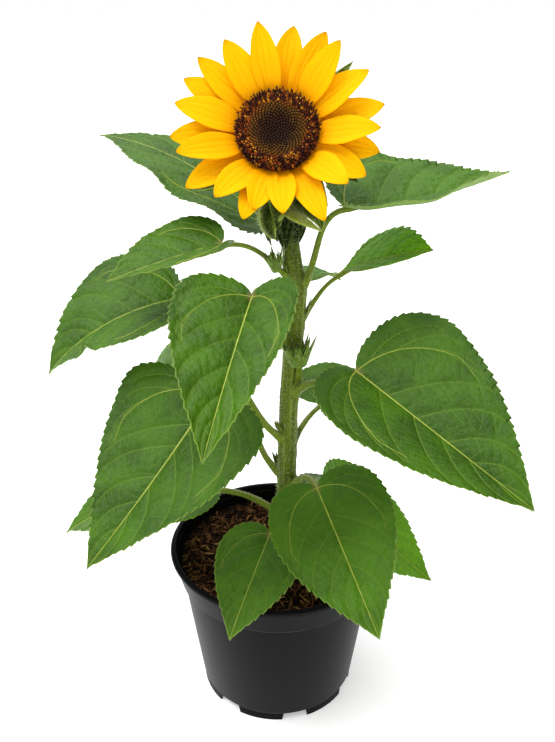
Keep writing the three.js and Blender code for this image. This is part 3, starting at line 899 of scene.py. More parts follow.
@dataclass
class Pot:
    """The round nursery pot: a rolled rim over a band, a tapered body and a notched foot."""

    height: float = 144.0
    rim_radius: float = 95.0
    rim_width: float = 5.0
    lip_height: float = 3.5
    band_top_radius: float = 92.6
    band_foot_radius: float = 87.2
    band_height: float = 26.5
    body_top_radius: float = 84.8
    body_foot_radius: float = 70.3
    foot_radius: float = 69.4
    foot_height: float = 8.5
    pad_radius: float = 14.0
    wall: float = 2.0
    floor_thickness: float = 2.2
    notches: int = 7
    notch_width: float = 20.0
    notch_height: float = 7.5
    first_notch: float = -77.0
    sides: int = 140

    def profile(self) -> list[Pair]:
        """The section's points, from the pad under the floor round the rim to the floor's middle.

        Returns:
            Radius and height of each point.
        """
        band = self.height - self.band_height
        lip = self.height - self.lip_height
        rim, edge = self.rim_radius, self.rim_radius - self.rim_width
        floor = self.foot_height + self.floor_thickness
        body_floor = self.body_foot_radius - self.wall
        inner_roll = [(edge + 1.1, self.height), (edge + 0.3, self.height - 0.5), (edge, self.height - 1.3)]
        outer_roll = [(rim - 0.9, lip - 0.3), (rim - 0.2, lip + 0.4), (rim, lip + 1.5),
                      (rim - 0.3, self.height - 0.9), (rim - 1.1, self.height - 0.2),
                      (rim - 2.0, self.height)]
        return [
            (self.pad_radius, 0.0), (self.pad_radius + 0.3, self.foot_height),
            (self.foot_radius - self.wall - 1, self.foot_height), (self.foot_radius - self.wall, 0.0),
            (self.foot_radius - 0.3, 0.0), (self.foot_radius, 0.4),
            (self.foot_radius, self.foot_height - 0.4),
            (self.body_foot_radius - 0.2, self.foot_height), (self.body_foot_radius, self.foot_height + 0.5),
            (self.body_top_radius, band - 0.6), (self.band_foot_radius - 0.5, band - 0.5),
            (self.band_foot_radius, band), (self.band_top_radius - 0.3, lip - 2.6),
            (self.band_top_radius - 0.7, lip - 2.1), (self.band_top_radius - 0.1, lip - 1.5), *outer_roll,
            *inner_roll, (self.band_top_radius - self.wall - 1.5, lip - 1),
            (self.band_foot_radius - self.wall, band + 1), (self.body_top_radius - self.wall, band - 2),
            (body_floor + 1, floor + 2), (body_floor - 1, floor), (5.0, floor),
        ]

    def shell(self) -> Object:
        """The whole wall, drawn up from a circle by extruding and scaling its edge.

        Returns:
            The closed wall.
        """
        points = self.profile()
        deselect()
        bpy.ops.mesh.primitive_circle_add(vertices=self.sides, radius=points[0][0] * MM)
        shell = newest("pot_shell")
        bpy.ops.object.mode_set(mode="EDIT")
        bpy.ops.mesh.edge_face_add()
        bpy.ops.mesh.flip_normals()
        bpy.ops.mesh.select_mode(type="EDGE")
        for (radius, height), (wider, higher) in zip(points, points[1:]):
            bpy.ops.mesh.extrude_edges_move(TRANSFORM_OT_translate={"value": (0, 0, (higher - height) * MM)})
            bpy.ops.transform.resize(value=(wider / radius, wider / radius, 1), center_override=(0, 0, 0))
        bpy.ops.mesh.edge_face_add()
        bpy.ops.mesh.select_all(action="SELECT")
        bpy.ops.mesh.normals_make_consistent(inside=False)
        bpy.ops.object.mode_set(mode="OBJECT")
        return shell

    def notch_cutter(self, number: int) -> Object:
        """One notch of the foot as a block whose sides lean in towards its top.

        Args:
            number: which notch it is.

        Returns:
            The block.
        """
        deselect()
        bpy.ops.mesh.primitive_cube_add(size=1)
        cutter = newest("notch_cutter")
        points = coordinates(cutter) / np.abs(coordinates(cutter)).max()
        slant = np.where(points[:, 2] > 0, 0.5, 0.66)
        angle = math.radians(self.first_notch + 360 * number / self.notches)
        x = self.foot_radius - 1 + points[:, 0] * 9
        y = points[:, 1] * self.notch_width * slant
        z = np.where(points[:, 2] > 0, self.notch_height, -self.notch_height)
        turned = np.stack([x * math.cos(angle) - y * math.sin(angle),
                           x * math.sin(angle) + y * math.cos(angle), z], axis=1)
        cutter.data.vertices.foreach_set("co", (turned * MM).ravel())
        return cutter

    def build(self) -> None:
        """Makes the pot and cuts its notches."""
        shell = self.shell()
        cutters = join("notch_cutters", [self.notch_cutter(i) for i in range(self.notches)])
        apply_modifier(shell, "BOOLEAN", operation="DIFFERENCE", object=cutters, solver="EXACT")
        bpy.data.objects.remove(cutters)
        activate(shell)
        bpy.ops.object.shade_smooth_by_angle(angle=math.radians(28))
        # The pale lines at the band's foot, above the foot ring and under the lip are partly dusty grime and
        # partly a painted highlight.
        plastic = MouldedPlastic(
            "moulded black polypropylene", roughness=0.4, specular=0.08, relief_mm=0.05,
            dust_and_highlight_lines=((self.height - self.band_height - 0.1, 0.8), (self.foot_height + 0.2, 0.75),
                        (self.height - self.lip_height - 2.1, 0.35)))
        dress(shell, "pot", plastic, replaces=["pot"])


@dataclass
class Compost:
    """The compost: a rough bed with loose curled shreds of bark and coir on it."""

    level: float = 129.0
    floor: float = 11.2
    floor_radius: float = 68.0
    radius: float = 87.0
    shreds: int = 2300
    seed: int = 7

    def height(self, x: Array, y: Array) -> Array:
        """The bed's height, in soft heaps."""
        heaps = np.sin(x / 11) * np.cos(y / 13) + 0.6 * np.sin((x + 2 * y) / 17)
        return self.level + 0.8 * heaps + 0.5 * np.sin(x / 2.3 + y / 5) * np.sin(y / 2.1 - x / 7)

    def bed(self) -> Object:
        """The body of the compost as one closed, uneven solid.

        Returns:
            The bed.
        """
        rings = [(r, self.level) for r in np.linspace(self.radius, 0, 48)]
        wall = [(self.floor_radius, self.floor), (self.radius - 5.5, 114), (self.radius - 2.5, 119)]
        net = turned_net([(0, self.floor), *wall, *rings], 160)
        top = net[1 + len(wall):]
        top[..., 2] = self.height(top[..., 0], top[..., 1])
        top[..., 2] += 0.8 * np.clip(1 - (self.radius - np.hypot(top[..., 0], top[..., 1])) / 4, 0, 1)
        return smooth(stitch(shaped_grid("compost_bed", net)))

    def shred(self, random: np.random.Generator) -> Unit:
        """One curled shred: a flat tapering strip bent into a loose curl.

        Args:
            random: the generator of its shape.

        Returns:
            The shred as a shape to copy.
        """
        share = np.linspace(-1, 1, 8)
        length, bend, twist = random.uniform(4.5, 8), random.uniform(-1.3, 1.3), random.uniform(-1.5, 1.5)
        x = length * np.sin(bend * share) / max(abs(bend), 0.2) * np.sign(bend or 1)
        y = length * (1 - np.cos(bend * share)) / max(abs(bend), 0.2)
        z = random.uniform(-1.6, 1.6) * share ** 2 + random.uniform(-0.6, 0.6) * share
        line = np.stack([x, y, z], axis=1)
        ups = np.stack([0 * share, np.sin(twist * share), np.cos(twist * share)], axis=1)
        wide = random.uniform(0.55, 1.25) * np.sqrt(np.clip(1.05 - share ** 2, 0, 1))
        radii = np.stack([wide * 0.42, wide, wide * 0.42, wide], axis=1)
        return Unit(stitch(shaped_grid("shred", wrapped_net(line, ups, radii, 4))))

    def build(self) -> None:
        """Makes the bed and strews the shreds."""
        dress(self.bed(), "compost", COMPOST_BED, replaces=["compost"])
        random = np.random.default_rng(self.seed)
        kinds = 8
        parts = []
        for _ in range(kinds):
            kind = self.shred(random)
            count = self.shreds // kinds
            radius = (self.radius - 3) * np.sqrt(random.random(count))
            angle = random.uniform(0, math.tau, count)
            x, y = radius * np.cos(angle), radius * np.sin(angle)
            depth = random.random(count)
            points = np.stack([x, y, self.height(x, y) + 2.6 * depth - 0.3], axis=1)
            axes = UP + random.normal(size=(count, 3)) * 0.28
            # The lower a shred lies among the others, the darker its tint: painted shade between the shreds.
            tints = np.clip(0.15 + 0.55 * depth + random.normal(size=count) * 0.22, 0, 1)
            sizes = random.uniform(0.55, 1.15, count)
            places = standing(points, axes, sizes, random.uniform(0, math.tau, count))
            parts.append(kind.scatter("shreds", places, tints))
        dress(join("compost_shreds", parts), "compost", SHREDS)


# ---------- small blades

@dataclass(frozen=True)
class Strap:
    """A small pointed blade laid along a curve, such as a bract.

    line holds the curve's control points, up is where its upper face looks, cup is how far its edges
    rise as a share of its width, and root is its width at the foot as a share of the widest.
    """

    line: tuple[Sequence[float], ...]
    up: Sequence[float]
    width: float
    cup: float = 0.2
    root: float = 0.7
    widest: float = 0.3

    def sheet(self, rows: int = 16, columns: int = 8) -> Object:
        """The blade as a sheet whose face looks up.

        Args:
            rows: how many faces it has along it.
            columns: how many it has across.

        Returns:
            The sheet.
        """
        s = np.linspace(0, 1, rows + 1)
        v = np.linspace(1, -1, columns + 1)
        line = bezier(self.line, s)
        along = tangents(line)
        high = np.broadcast_to(np.asarray(self.up, float), along.shape)
        high = unit(high - along * np.sum(high * along, axis=1, keepdims=True))
        left = np.cross(high, along)
        taper = 1 - ((s - self.widest).clip(0) / (1 - self.widest)) ** 1.5
        swelling = self.root + (1 - self.root) * s / self.widest
        half = self.width / 2 * np.where(s < self.widest, swelling, taper)
        rise = (v[None] ** 2 - 0.3) * self.cup * self.width * (2 * half / self.width)[:, None]
        across = v[None] * half[:, None]
        net = line[:, None] + left[:, None] * across[..., None] + high[:, None] * rise[..., None]
        return stitch(shaped_grid("strap", net), recalculate=False)


def thick_straps(name: str, straps: Iterable[Strap], thickness: float = 0.6) -> Object:
    """Several blades joined and given a thickness in millimetres.

    Args:
        name: the joined object's name.
        straps: the blades.
        thickness: how thick they are.

    Returns:
        The new object.
    """
    sheets = join(name, [strap.sheet() for strap in straps])
    return apply_modifier(sheets, "SOLIDIFY", thickness=thickness * MM, offset=0)


# ---------- the stem

@dataclass
class Stem:
    """The single stem, ribbed and slightly swollen where stalks leave it."""

    line: tuple[Triple, ...] = (
        (8, 0, 117), (8, 0, 133), (8, -1, 210), (9.5, -3, 288), (13, -5, 343),
        (15, -6, 383), (11, -6, 408), (9, -5, 428), (7, 0, 452), (4, 2, 472),
    )
    radii: tuple[float, ...] = (8, 8.8, 7.7, 7.4, 7.2, 6.9, 6.5, 6.1, 5.8, 5.6, 5.6)
    end: Triple = (0, 0, 0)
    ribs: int = 11
    rib_depth: float = 0.03
    sides: int = 66
    rows: int = 170

    def __post_init__(self) -> None:
        """Lays the middle line."""
        self.path = even(through([*self.line, self.end], 24), self.rows)
        heights = [point[2] for point in (*self.line, self.end)]
        self.thickness = np.interp(self.path[:, 2], heights, self.radii)

    def at(self, height: float) -> Array:
        """The middle of the stem at a height."""
        return read_off(np.array(height), self.path[:, 2], self.path)

    def build(self, leaves: Sequence["Leaf"], bristles: Bristles) -> None:
        """Makes the stem.

        Args:
            leaves: the leaves, whose stalks swell it and run down it as pale lines.
            bristles: where its bristles are collected.
        """
        z = self.path[:, 2][:, None]
        angles = np.linspace(0, math.tau, self.sides + 1)[None, :-1]
        relief = 1 + self.rib_depth * np.cos(self.ribs * angles + 0.01 * z) * np.ones_like(z)
        # The rib crests are painted paler: a painted highlight where the shallow ribs would catch the light.
        lines = 0.18 * np.clip(np.cos(self.ribs * angles + 0.01 * z), 0, 1) ** 2
        for leaf in leaves:
            off = (z - leaf.foot[0]) / 5
            turn = np.radians(leaf.foot[1]) - angles
            relief = relief + 0.1 * np.exp(-off ** 2) * (0.4 + 0.6 * np.clip(np.cos(turn), 0, 1))
            for side in (-0.55, 0.55):
                aslant = np.angle(np.exp(1j * (turn + side)))
                run = np.clip((leaf.foot[0] - z) / 50, 0, 1)
                lines += 0.55 * np.exp(-(aslant / 0.13) ** 2) * (run > 0) * (1 - run)
        radii = self.thickness[:, None] * relief
        ups = np.tile([1.0, 0.0, 0.0], (len(self.path), 1))
        net = wrapped_net(self.path, ups, radii, self.sides)
        stem = shaped_grid("stem_bark", net)
        full = np.zeros(net.shape[:2])
        full[1:-1, :-1] = np.clip(lines, 0, 1)
        set_attribute(stem, "top", full)
        dress(smooth(stitch(stem)), "stem", STEM_SKIN, replaces=["stem"])
        bristles.grow(stem, 9000, 2.2, lean=0.3)


# ---------- leaves

class Rank(Enum):
    """How strong a vein is, as the millimetres that it stands proud of the blade."""

    MAIN = 0.4
    SIDE = 0.26
    CROSS = 0.14


@dataclass
class Vein:
    """One vein on the flattened blade: its line in millimetres and its widths at both ends."""

    line: Array
    widths: Pair
    rank: Rank


class Outline:
    """The outline of half a blade, as shares of its length and of its half width."""

    shoulder_rib = 0.18

    def __init__(self, lobe: float, shoulder: float, point: float) -> None:
        """Lays out the outline from the junction round the lobe to the tip.

        Args:
            lobe: how far the lobe reaches back.
            shoulder: where the blade is widest.
            point: how full it is near its tip.
        """
        t = np.linspace(0, 1, 120)
        lobe_part = bezier([(0, 0), (-1.25 * lobe, 0.14), (-1.35 * lobe, 1), (shoulder, 1)], t)
        tip_part = bezier([(shoulder, 1), (shoulder + 0.3, 1), (0.81, point), (1, 0)], t[1:])
        self.edge = np.vstack([lobe_part, tip_part])
        rest = self.shoulder_rib + (1 - self.shoulder_rib) * t[1:]
        self.rib = np.concatenate([self.shoulder_rib * t, rest])
        back = int(np.argmin(self.edge[:, 0]))
        self.front = self.edge[back:]

    def half_width(self, share: Array) -> Array:
        """The half width at a share of the length, on the outer side of the lobe."""
        return np.interp(share, self.front[:, 0], self.front[:, 1])

    def rows(self, length: float, half: float, count: int) -> tuple[Array, Array, Array]:
        """Even steps along the margin: edge points, rib shares and the way gone in millimetres.

        Args:
            length: the blade's length.
            half: its half width.
            count: how many steps.

        Returns:
            The points, their shares along the midrib, and the way gone.
        """
        gone = travelled(self.edge * [length, half])
        wanted = np.linspace(0, gone[-1], count)
        return read_off(wanted, gone, self.edge), np.interp(wanted, gone, self.rib), wanted


@dataclass
class Leaf:
    """One leaf: a heart-shaped blade with saw teeth, quilted between its veins, on a grooved stalk.

    foot is the stalk's height on the stem and its direction round it; at is where the blade joins the
    stalk. heading, pitch and roll are the midrib's direction, slope and bank at the junction and the tip.
    fold is how far the halves rise from the midrib, and tone how fresh and bright its green is; on leaves 4
    and 12 the high tone is painted light, standing in for light shining through them. tear is where the
    margin is torn and curled up, as shares of the length and of the half width. teeth is how big the teeth
    are on the left and on the right, point how full the blade is near its tip, ruffle and lip how far the
    margin waves and the right margin turns up in millimetres, and arch how far the stalk bends over after
    it left the stem at the angle rise.

    The blade's net has points every cell, and its teeth are tooth apart. Between strong veins the tissue
    swells, and between cross veins it pillows: each has a height and a reach in millimetres, and halo has
    the strength and reach of the paler tissue along both. Veins have their widths in millimetres at the
    root and the tip on a leaf of usual_length. basal holds the points of the two curved veins from the
    junction, and branches where their branches start, how far they run on and how far they bow back.
    stalk_radius is the stalk's radius and what it gains with each millimetre of leaf, and blade_end how
    much of the stalk lies under the blade.
    """

    number: int
    foot: Pair
    at: Triple
    heading: Pair
    pitch: Pair
    roll: Pair
    length: float
    width: float
    fold: float = 14.0
    skew: float = 0.0
    lobe: float = 0.09
    shoulder: float = 0.25
    tone: float = 0.35
    quilt: float = 1.0
    tear: Pair | None = None
    teeth: Pair = (1.0, 1.0)
    point: float = 0.33
    ruffle: float = 1.1
    lip: float = 0.0
    arch: float = 1.0
    rise: float = 48.0
    curl: float = 0.1
    thickness: float = 0.5
    cell: float = 1.35
    tooth: float = 6.8
    tooth_height: float = 2.0
    tooth_lean: float = 0.8
    tooth_peak: float = 0.82
    full_teeth_length: float = 110.0
    usual_length: float = 150.0
    rib_steps: int = 160
    swell: Pair = (1.15, 4.5)
    pillow: Pair = (0.55, 2.3)
    halo: tuple[Pair, ...] = ((0.4, 0.7), (0.1, 0.6))
    midrib_widths: Pair = (2.5, 0.4)
    basal_widths: Pair = (0.9, 0.22)
    branch_widths: Pair = (0.48, 0.2)
    side_widths: Pair = (0.62, 0.2)
    cross_widths: Pair = (0.42, 0.22)
    cross_spacing: float = 7.0
    basal: tuple[Pair, ...] = ((0, 0), (0.02, 0.36), (0.12, 0.66), (0.28, 0.74), (0.45, 0.82))
    branches: tuple[Triple, ...] = (
        (0.13, 0.16, -0.05), (0.32, 0.2, 0.03), (0.52, 0.24, 0.08), (0.72, 0.22, 0.1))
    side_origins: tuple[float, ...] = (0.16, 0.34, 0.51, 0.66, 0.79)
    vein_jitter: float = 0.018
    stalk_radius: Pair = (1.5, 0.012)
    stalk_taper: float = 0.25
    stalk_flare: float = 0.6
    groove: float = 0.2
    blade_end: float = 23.0
    veins: list[Vein] = field(default_factory=list)

    def __post_init__(self) -> None:
        """Works out the midrib and the outline."""
        self.random = np.random.default_rng(100 + self.number)
        self.outline = Outline(self.lobe, self.shoulder, self.point)
        middle = (np.arange(self.rib_steps) + 0.5) / self.rib_steps
        steps = self.direction(middle) * self.length / self.rib_steps
        self.rib_points = np.vstack([[self.at], self.at + np.cumsum(steps, axis=0)])
        self.half = self.width / 2

    def direction(self, share: Array) -> Array:
        """The midrib's direction at shares of its length.

        Args:
            share: places from 0 to 1.

        Returns:
            A direction for each share.
        """
        heading = np.radians(self.heading[0] + (self.heading[1] - self.heading[0]) * share)
        pitch = np.radians(self.pitch[0] + (self.pitch[1] - self.pitch[0]) * share)
        level = np.cos(pitch)
        return np.stack([level * np.cos(heading), level * np.sin(heading), np.sin(pitch)], axis=-1)

    def frame(self, share: Array) -> tuple[Array, Array, Array, Array]:
        """The midrib's point, forward, left and upward directions at shares of its length.

        Args:
            share: places, of which some may lie before the junction.

        Returns:
            The four rows of vectors.
        """
        held = np.clip(share, 0, 1)
        table = np.linspace(0, 1, self.rib_steps + 1)
        point = read_off(held, table, self.rib_points)
        forward = self.direction(held)
        point = point + self.direction(np.zeros_like(held)) * (np.minimum(share, 0) * self.length)[..., None]
        heading = np.radians(self.heading[0] + (self.heading[1] - self.heading[0]) * held)
        level = np.stack([-np.sin(heading), np.cos(heading), np.zeros_like(heading)], axis=-1)
        bank = np.radians(self.roll[0] + (self.roll[1] - self.roll[0]) * held)[..., None]
        left = level * np.cos(bank) + np.cross(forward, level) * np.sin(bank)
        return point, forward, left, np.cross(forward, left)

    def surface(self, flat: Array) -> tuple[Array, Array]:
        """The smooth blade's points and normals at flat places.

        Args:
            flat: millimetres along the midrib and across it, positive to the left.

        Returns:
            The points and the upward normals.
        """
        point, forward, left, up = self.frame(flat[:, 0] / self.length)
        side = np.sign(flat[:, 1])[:, None]
        out = np.abs(flat[:, 1])[:, None]
        fold = math.radians(self.fold)
        rise = out * math.sin(fold) - self.curl * out ** 2 / self.half
        share = out / self.half / np.maximum(0.1, self.outline.half_width(flat[:, :1] / self.length))
        rise = rise + self.lip * (side < 0) * np.clip((share - 0.55) / 0.45, 0, 1) ** 2
        slope = math.sin(fold) - 2 * self.curl * out / self.half
        points = point + left * side * out * math.cos(fold) + up * rise
        across = left * math.cos(fold) + up * slope * side
        return points, unit(np.cross(forward, across))

    def side_half(self, side: float) -> float:
        """The half width on one side, 1 for the left and -1 for the right."""
        return self.half * (1 + self.skew * side)

    def jitter(self) -> float:
        """A small random shift of a vein, as a share."""
        return self.random.normal() * self.vein_jitter

    def lay_vein(self, points: Array, widths: Pair, rank: Rank,
                 side: float = 1.0) -> None:
        """Adds a vein.

        Args:
            points: its line, as shares of the length and of the half width.
            widths: its widths on a leaf of usual length.
            rank: how strong it is.
            side: 1 for the left half and -1 for the right.
        """
        scale = np.array([self.length, self.side_half(side) * side])
        root = widths[0] * self.length / self.usual_length
        self.veins.append(Vein(points * scale, (root, widths[1]), rank))

    def side_vein(self, origin: float, start: float) -> Array:
        """The line of a side vein, which bends forward from the midrib towards the margin.

        Args:
            origin: its usual place on the midrib, which sets how long it is.
            start: where it leaves the midrib.

        Returns:
            Its points as shares.
        """
        reach = 0.38 * (1 - 0.5 * origin)
        wide = [float(self.outline.half_width(np.array(start + reach * k))) for k in (0.3, 0.6, 1.0)]
        controls = [(start, 0), (start + reach * 0.28, 0.33 * wide[0]),
                    (start + reach * 0.58, 0.7 * wide[1]), (start + reach, 0.9 * wide[2])]
        return bezier(controls, np.linspace(0, 1, 22))

    def basal_branch(self, start: Array, reach: float, back: float) -> Array:
        """The line of a branch of a basal vein.

        Args:
            start: where it leaves the vein, as shares.
            reach: how far it runs on along the leaf.
            back: how far its middle bows back.

        Returns:
            Its points as shares.
        """
        out = start[0] + reach
        ends = (out, 0.9 * float(self.outline.half_width(np.array(out))))
        middle = (start[0] + back, start[1] + 0.55 * (ends[1] - start[1]) + self.jitter())
        branch = bezier([start, middle, (out - reach * 0.45, ends[1] * 1.02), ends], np.linspace(0, 1, 16))
        branch[:, 1] = np.minimum(branch[:, 1], 0.88 * self.outline.half_width(branch[:, 0]))
        return branch

    def lay_veins(self) -> None:
        """Draws the midrib, the two basal veins, the side veins and their branches."""
        self.veins = []
        midrib = np.stack([np.linspace(-0.01, 0.985, 40), np.zeros(40)], axis=1)
        self.lay_vein(midrib, self.midrib_widths, Rank.MAIN)
        for side in (1.0, -1.0):
            controls = np.array(self.basal)
            controls[3, 1] += self.jitter()
            basal = bezier(controls, np.linspace(0, 1, 30))
            basal[:, 1] = np.minimum(basal[:, 1], 0.8 * self.outline.half_width(basal[:, 0]))
            self.lay_vein(basal, self.basal_widths, Rank.MAIN, side)
            for place, reach, back in self.branches:
                self.lay_vein(self.basal_branch(basal[int(place * 29)], reach, back), self.branch_widths,
                              Rank.SIDE, side)
            for origin in self.side_origins:
                line = self.side_vein(origin, origin + 0.02 * side + self.jitter())
                root, tip = self.side_widths
                self.lay_vein(line, (root * (1.1 - 0.5 * origin), tip), Rank.SIDE, side)

    def segments(self, veins: Sequence[Vein]) -> tuple[Array, Array]:
        """The straight pieces of some veins, as starts and ends."""
        return (np.vstack([vein.line[:-1] for vein in veins]), np.vstack([vein.line[1:] for vein in veins]))

    def lay_cross_veins(self) -> None:
        """Runs cross veins from each strong vein until they meet the next one or the margin."""
        starts, ways, owners = [], [], []
        strong = list(self.veins)
        for owner, vein in enumerate(strong):
            line = even(vein.line, 60)
            gap = float(np.linalg.norm(line[1] - line[0]))
            along = tangents(line)
            at = 4.0
            while at < gap * 57:
                i = int(at / gap)
                turned = np.array([-along[i, 1], along[i, 0]])
                sides = (1.0, -1.0) if owner == 0 else (math.copysign(1.0, turned[0]),)
                for side in sides:
                    starts.append(line[i])
                    ways.append(turned * side + 0.35 * along[i])
                    owners.append(owner)
                at += self.cross_spacing * self.random.uniform(0.75, 1.25)
        places, ways, owners = np.array(starts), unit(np.array(ways)), np.array(owners)
        bends = self.random.normal(size=len(places)) * 0.02
        firsts, lasts = self.segments(strong)
        ids = np.concatenate([np.full(len(vein.line) - 1, i) for i, vein in enumerate(strong)])
        edge = self.outline.edge
        around = np.vstack([edge * [self.length, self.side_half(1)],
                            edge[::-1] * [self.length, -self.side_half(-1)]])
        trails = [[place] for place in places]
        alive = np.ones(len(places), bool)
        taken: dict[tuple[int, int], int] = {}
        cell_size, longest = 1.3, 26
        for _ in range(longest):
            turn = np.stack([ways[:, 0] - bends * ways[:, 1], ways[:, 1] + bends * ways[:, 0]], axis=1)
            ways = unit(turn)
            places = places + ways * 1.0
            distance = segment_distance(places, firsts, lasts)
            distance[owners[:, None] == ids[None]] = np.inf
            alive &= inside(places, around * [0.985, 0.97])
            for i in np.flatnonzero(alive):
                trails[i].append(places[i])
                cell = tuple((places[i] // cell_size).astype(int))
                alive[i] = taken.setdefault(cell, int(i)) == i
            alive &= distance.min(axis=1) > 0.7
        for trail in trails:
            if len(trail) > 3:
                line = np.array(trail)[::2] if len(trail) > 6 else np.array(trail)
                self.veins.append(Vein(line, self.cross_widths, Rank.CROSS))

    def relief(self, flat: Array) -> tuple[Array, Array]:
        """How far the tissue swells over its veins, and how near it is to a vein.

        Args:
            flat: places on the flattened blade.

        Returns:
            The rise in millimetres and the nearness from 0 to 1.
        """
        strong = [vein for vein in self.veins if vein.rank is not Rank.CROSS]
        cross = [vein for vein in self.veins if vein.rank is Rank.CROSS]
        to_strong = segment_distance(flat, *self.segments(strong)).min(axis=1)
        to_cross = segment_distance(flat, *self.segments(cross)).min(axis=1)
        swell = self.swell[0] * (1 - np.exp(-(to_strong / self.swell[1]) ** 1.4))
        pillow = self.pillow[0] * (1 - np.exp(-(to_cross / self.pillow[1]) ** 2))
        pillow = pillow * np.clip(to_strong / 3, 0, 1)
        across = flat[:, 1] / self.half
        wave = self.ruffle * np.abs(across) ** 3 * np.sin(flat[:, 0] / 9 + 2 * np.sign(across) + self.number)
        halos = [strength * np.exp(-(gap / reach) ** 2)
                 for (strength, reach), gap in zip(self.halo, (to_strong, to_cross))]
        return self.quilt * (swell + pillow) + wave, np.maximum(*halos)

    def toothed(self, edge: Array, gone: Array) -> Array:
        """The margin's saw teeth.

        Args:
            edge: the margin's points, as shares.
            gone: how far along the margin each lies.

        Returns:
            A flat move for each point, in millimetres.
        """
        flat = edge * [self.length, self.side_half(1.0)]
        way = tangents(flat)
        out = np.stack([-way[:, 1], way[:, 0]], axis=1)
        phase = gone / self.tooth + self.random.random()
        part = phase % 1
        saw = np.where(part < self.tooth_peak, part / self.tooth_peak, (1 - part) / (1 - self.tooth_peak))
        strength = 0.6 + 0.8 * self.random.random(int(phase.max()) + 2)[phase.astype(int)]
        fade = np.clip(gone / 18 - 0.3, 0, 1) * np.clip((gone[-1] - gone) / (0.2 * self.length) - 0.2, 0, 1)
        size = self.tooth_height * min(1.0, self.length / self.full_teeth_length)
        lift = (saw - 0.45) * strength * fade * size
        return out * lift[:, None] + way * (lift * self.tooth_lean)[:, None]

    def flat_net(self) -> tuple[Array, Array]:
        """The blade's flat net and, for each point, how far it is from the margin.

        Returns:
            The net in millimetres, rows by columns by 2, and the distances.
        """
        count = int(travelled(self.outline.edge * [self.length, self.half])[-1] / self.cell) + 1
        columns = max(14, int(self.half / self.cell / 1.25))
        edge, rib, gone = self.outline.rows(self.length, self.half, count)
        share = np.linspace(0, 1, columns + 1)
        halves, insets = [], []
        for side in (1.0, -1.0):
            half = self.side_half(side)
            target = edge * [self.length, half]
            start = np.stack([rib * self.length, np.zeros(count)], axis=1)
            moves = self.toothed(edge, gone) * self.teeth[int(side < 0)]
            points = start[:, None] + share[None, :, None] * (target - start)[:, None]
            points = points + share[None, :, None] ** 7 * moves[:, None]
            inset = (1 - share)[None, :] * np.linalg.norm(target - start, axis=1)[:, None]
            halves.append(points * [1, side])
            insets.append(inset)
        net = np.concatenate([halves[0][:, ::-1], halves[1][:, 1:]], axis=1)
        return net, np.concatenate([insets[0][:, ::-1], insets[1][:, 1:]], axis=1)

    def torn(self, flat: Array, points: Array, normals: Array) -> Array:
        """Draws the margin in and curls it up where the leaf is torn.

        Args:
            flat: places on the flattened blade.
            points: where they are.
            normals: the upward normals there.

        Returns:
            The moved points.
        """
        if self.tear is None:
            return points
        off = (flat - np.array(self.tear) * [self.length, self.half]) / [3.6, 8.0]
        near = np.exp(-np.sum(off ** 2, axis=1))[:, None]
        middle = self.frame(flat[:, 0] / self.length)[0]
        return points + (middle - points) * 0.2 * near + normals * 5.5 * near

    def blade(self) -> Object:
        """The quilted blade, two skins thick, with its paler underside.

        Returns:
            The blade, whose points carry what its surface is coloured by.
        """
        net, inset = self.flat_net()
        flat = net.reshape(-1, 2)
        points, normals = self.surface(flat)
        rise, halo = self.relief(flat)
        points = self.torn(flat, points + normals * rise[:, None], normals)
        blade = shaped_grid(f"leaf_blade_{self.number:02d}", points.reshape(*net.shape[:2], 3))
        set_attribute(blade, "margin", inset.ravel())
        set_attribute(blade, "junction", np.linalg.norm(flat * [0.6, 1], axis=1))
        set_attribute(blade, "halo", halo)
        set_attribute(blade, "tone", np.full(len(flat), self.tone))
        stitch(blade, recalculate=False)
        coat(blade, LEAF_TOP, LEAF_UNDER)
        apply_modifier(blade, "SOLIDIFY", thickness=self.thickness * MM, offset=0, material_offset=1,
                       use_even_offset=False)
        return smooth(blade)

    def vein_mesh(self, rank: Rank, finish: Finish) -> Object:
        """The veins of one rank as fine ridges that show on both faces of the blade.

        Args:
            rank: which veins are made.
            finish: what they are made of.

        Returns:
            The ridges.
        """
        vertices, faces = [], []
        proud = rank.value
        for vein in (v for v in self.veins if v.rank is rank):
            points, normals = self.surface(vein.line)
            rise, _ = self.relief(vein.line)
            points = self.torn(vein.line, points + normals * rise[:, None], normals)
            width = np.linspace(vein.widths[0], vein.widths[1], len(points))[:, None]
            wide = unit(np.cross(normals, tangents(points)))
            top = self.thickness / 2 + proud
            foot = normals * (top - proud * 0.9)
            ring = [points + wide * width / 2 + foot, points + normals * (top + width * 0.06),
                    points - wide * width / 2 + foot, points - normals * (self.thickness / 2 + width * 0.45)]
            base = len(vertices)
            vertices.extend(np.stack(ring, axis=1).reshape(-1, 3))
            for i in range(len(points) - 1):
                a = base + 4 * i
                faces.extend((a + k, a + (k + 1) % 4, a + 4 + (k + 1) % 4, a + 4 + k) for k in range(4))
            last = base + 4 * (len(points) - 1)
            faces.append((base + 3, base + 2, base + 1, base))
            faces.append((last, last + 1, last + 2, last + 3))
        mesh = bpy.data.meshes.new("veins")
        mesh.from_pydata((np.array(vertices) * MM).tolist(), [], faces)
        veins = bpy.data.objects.new("veins", mesh)
        bpy.context.scene.collection.objects.link(veins)
        return coat(smooth(stitch(veins, close=False)), finish)

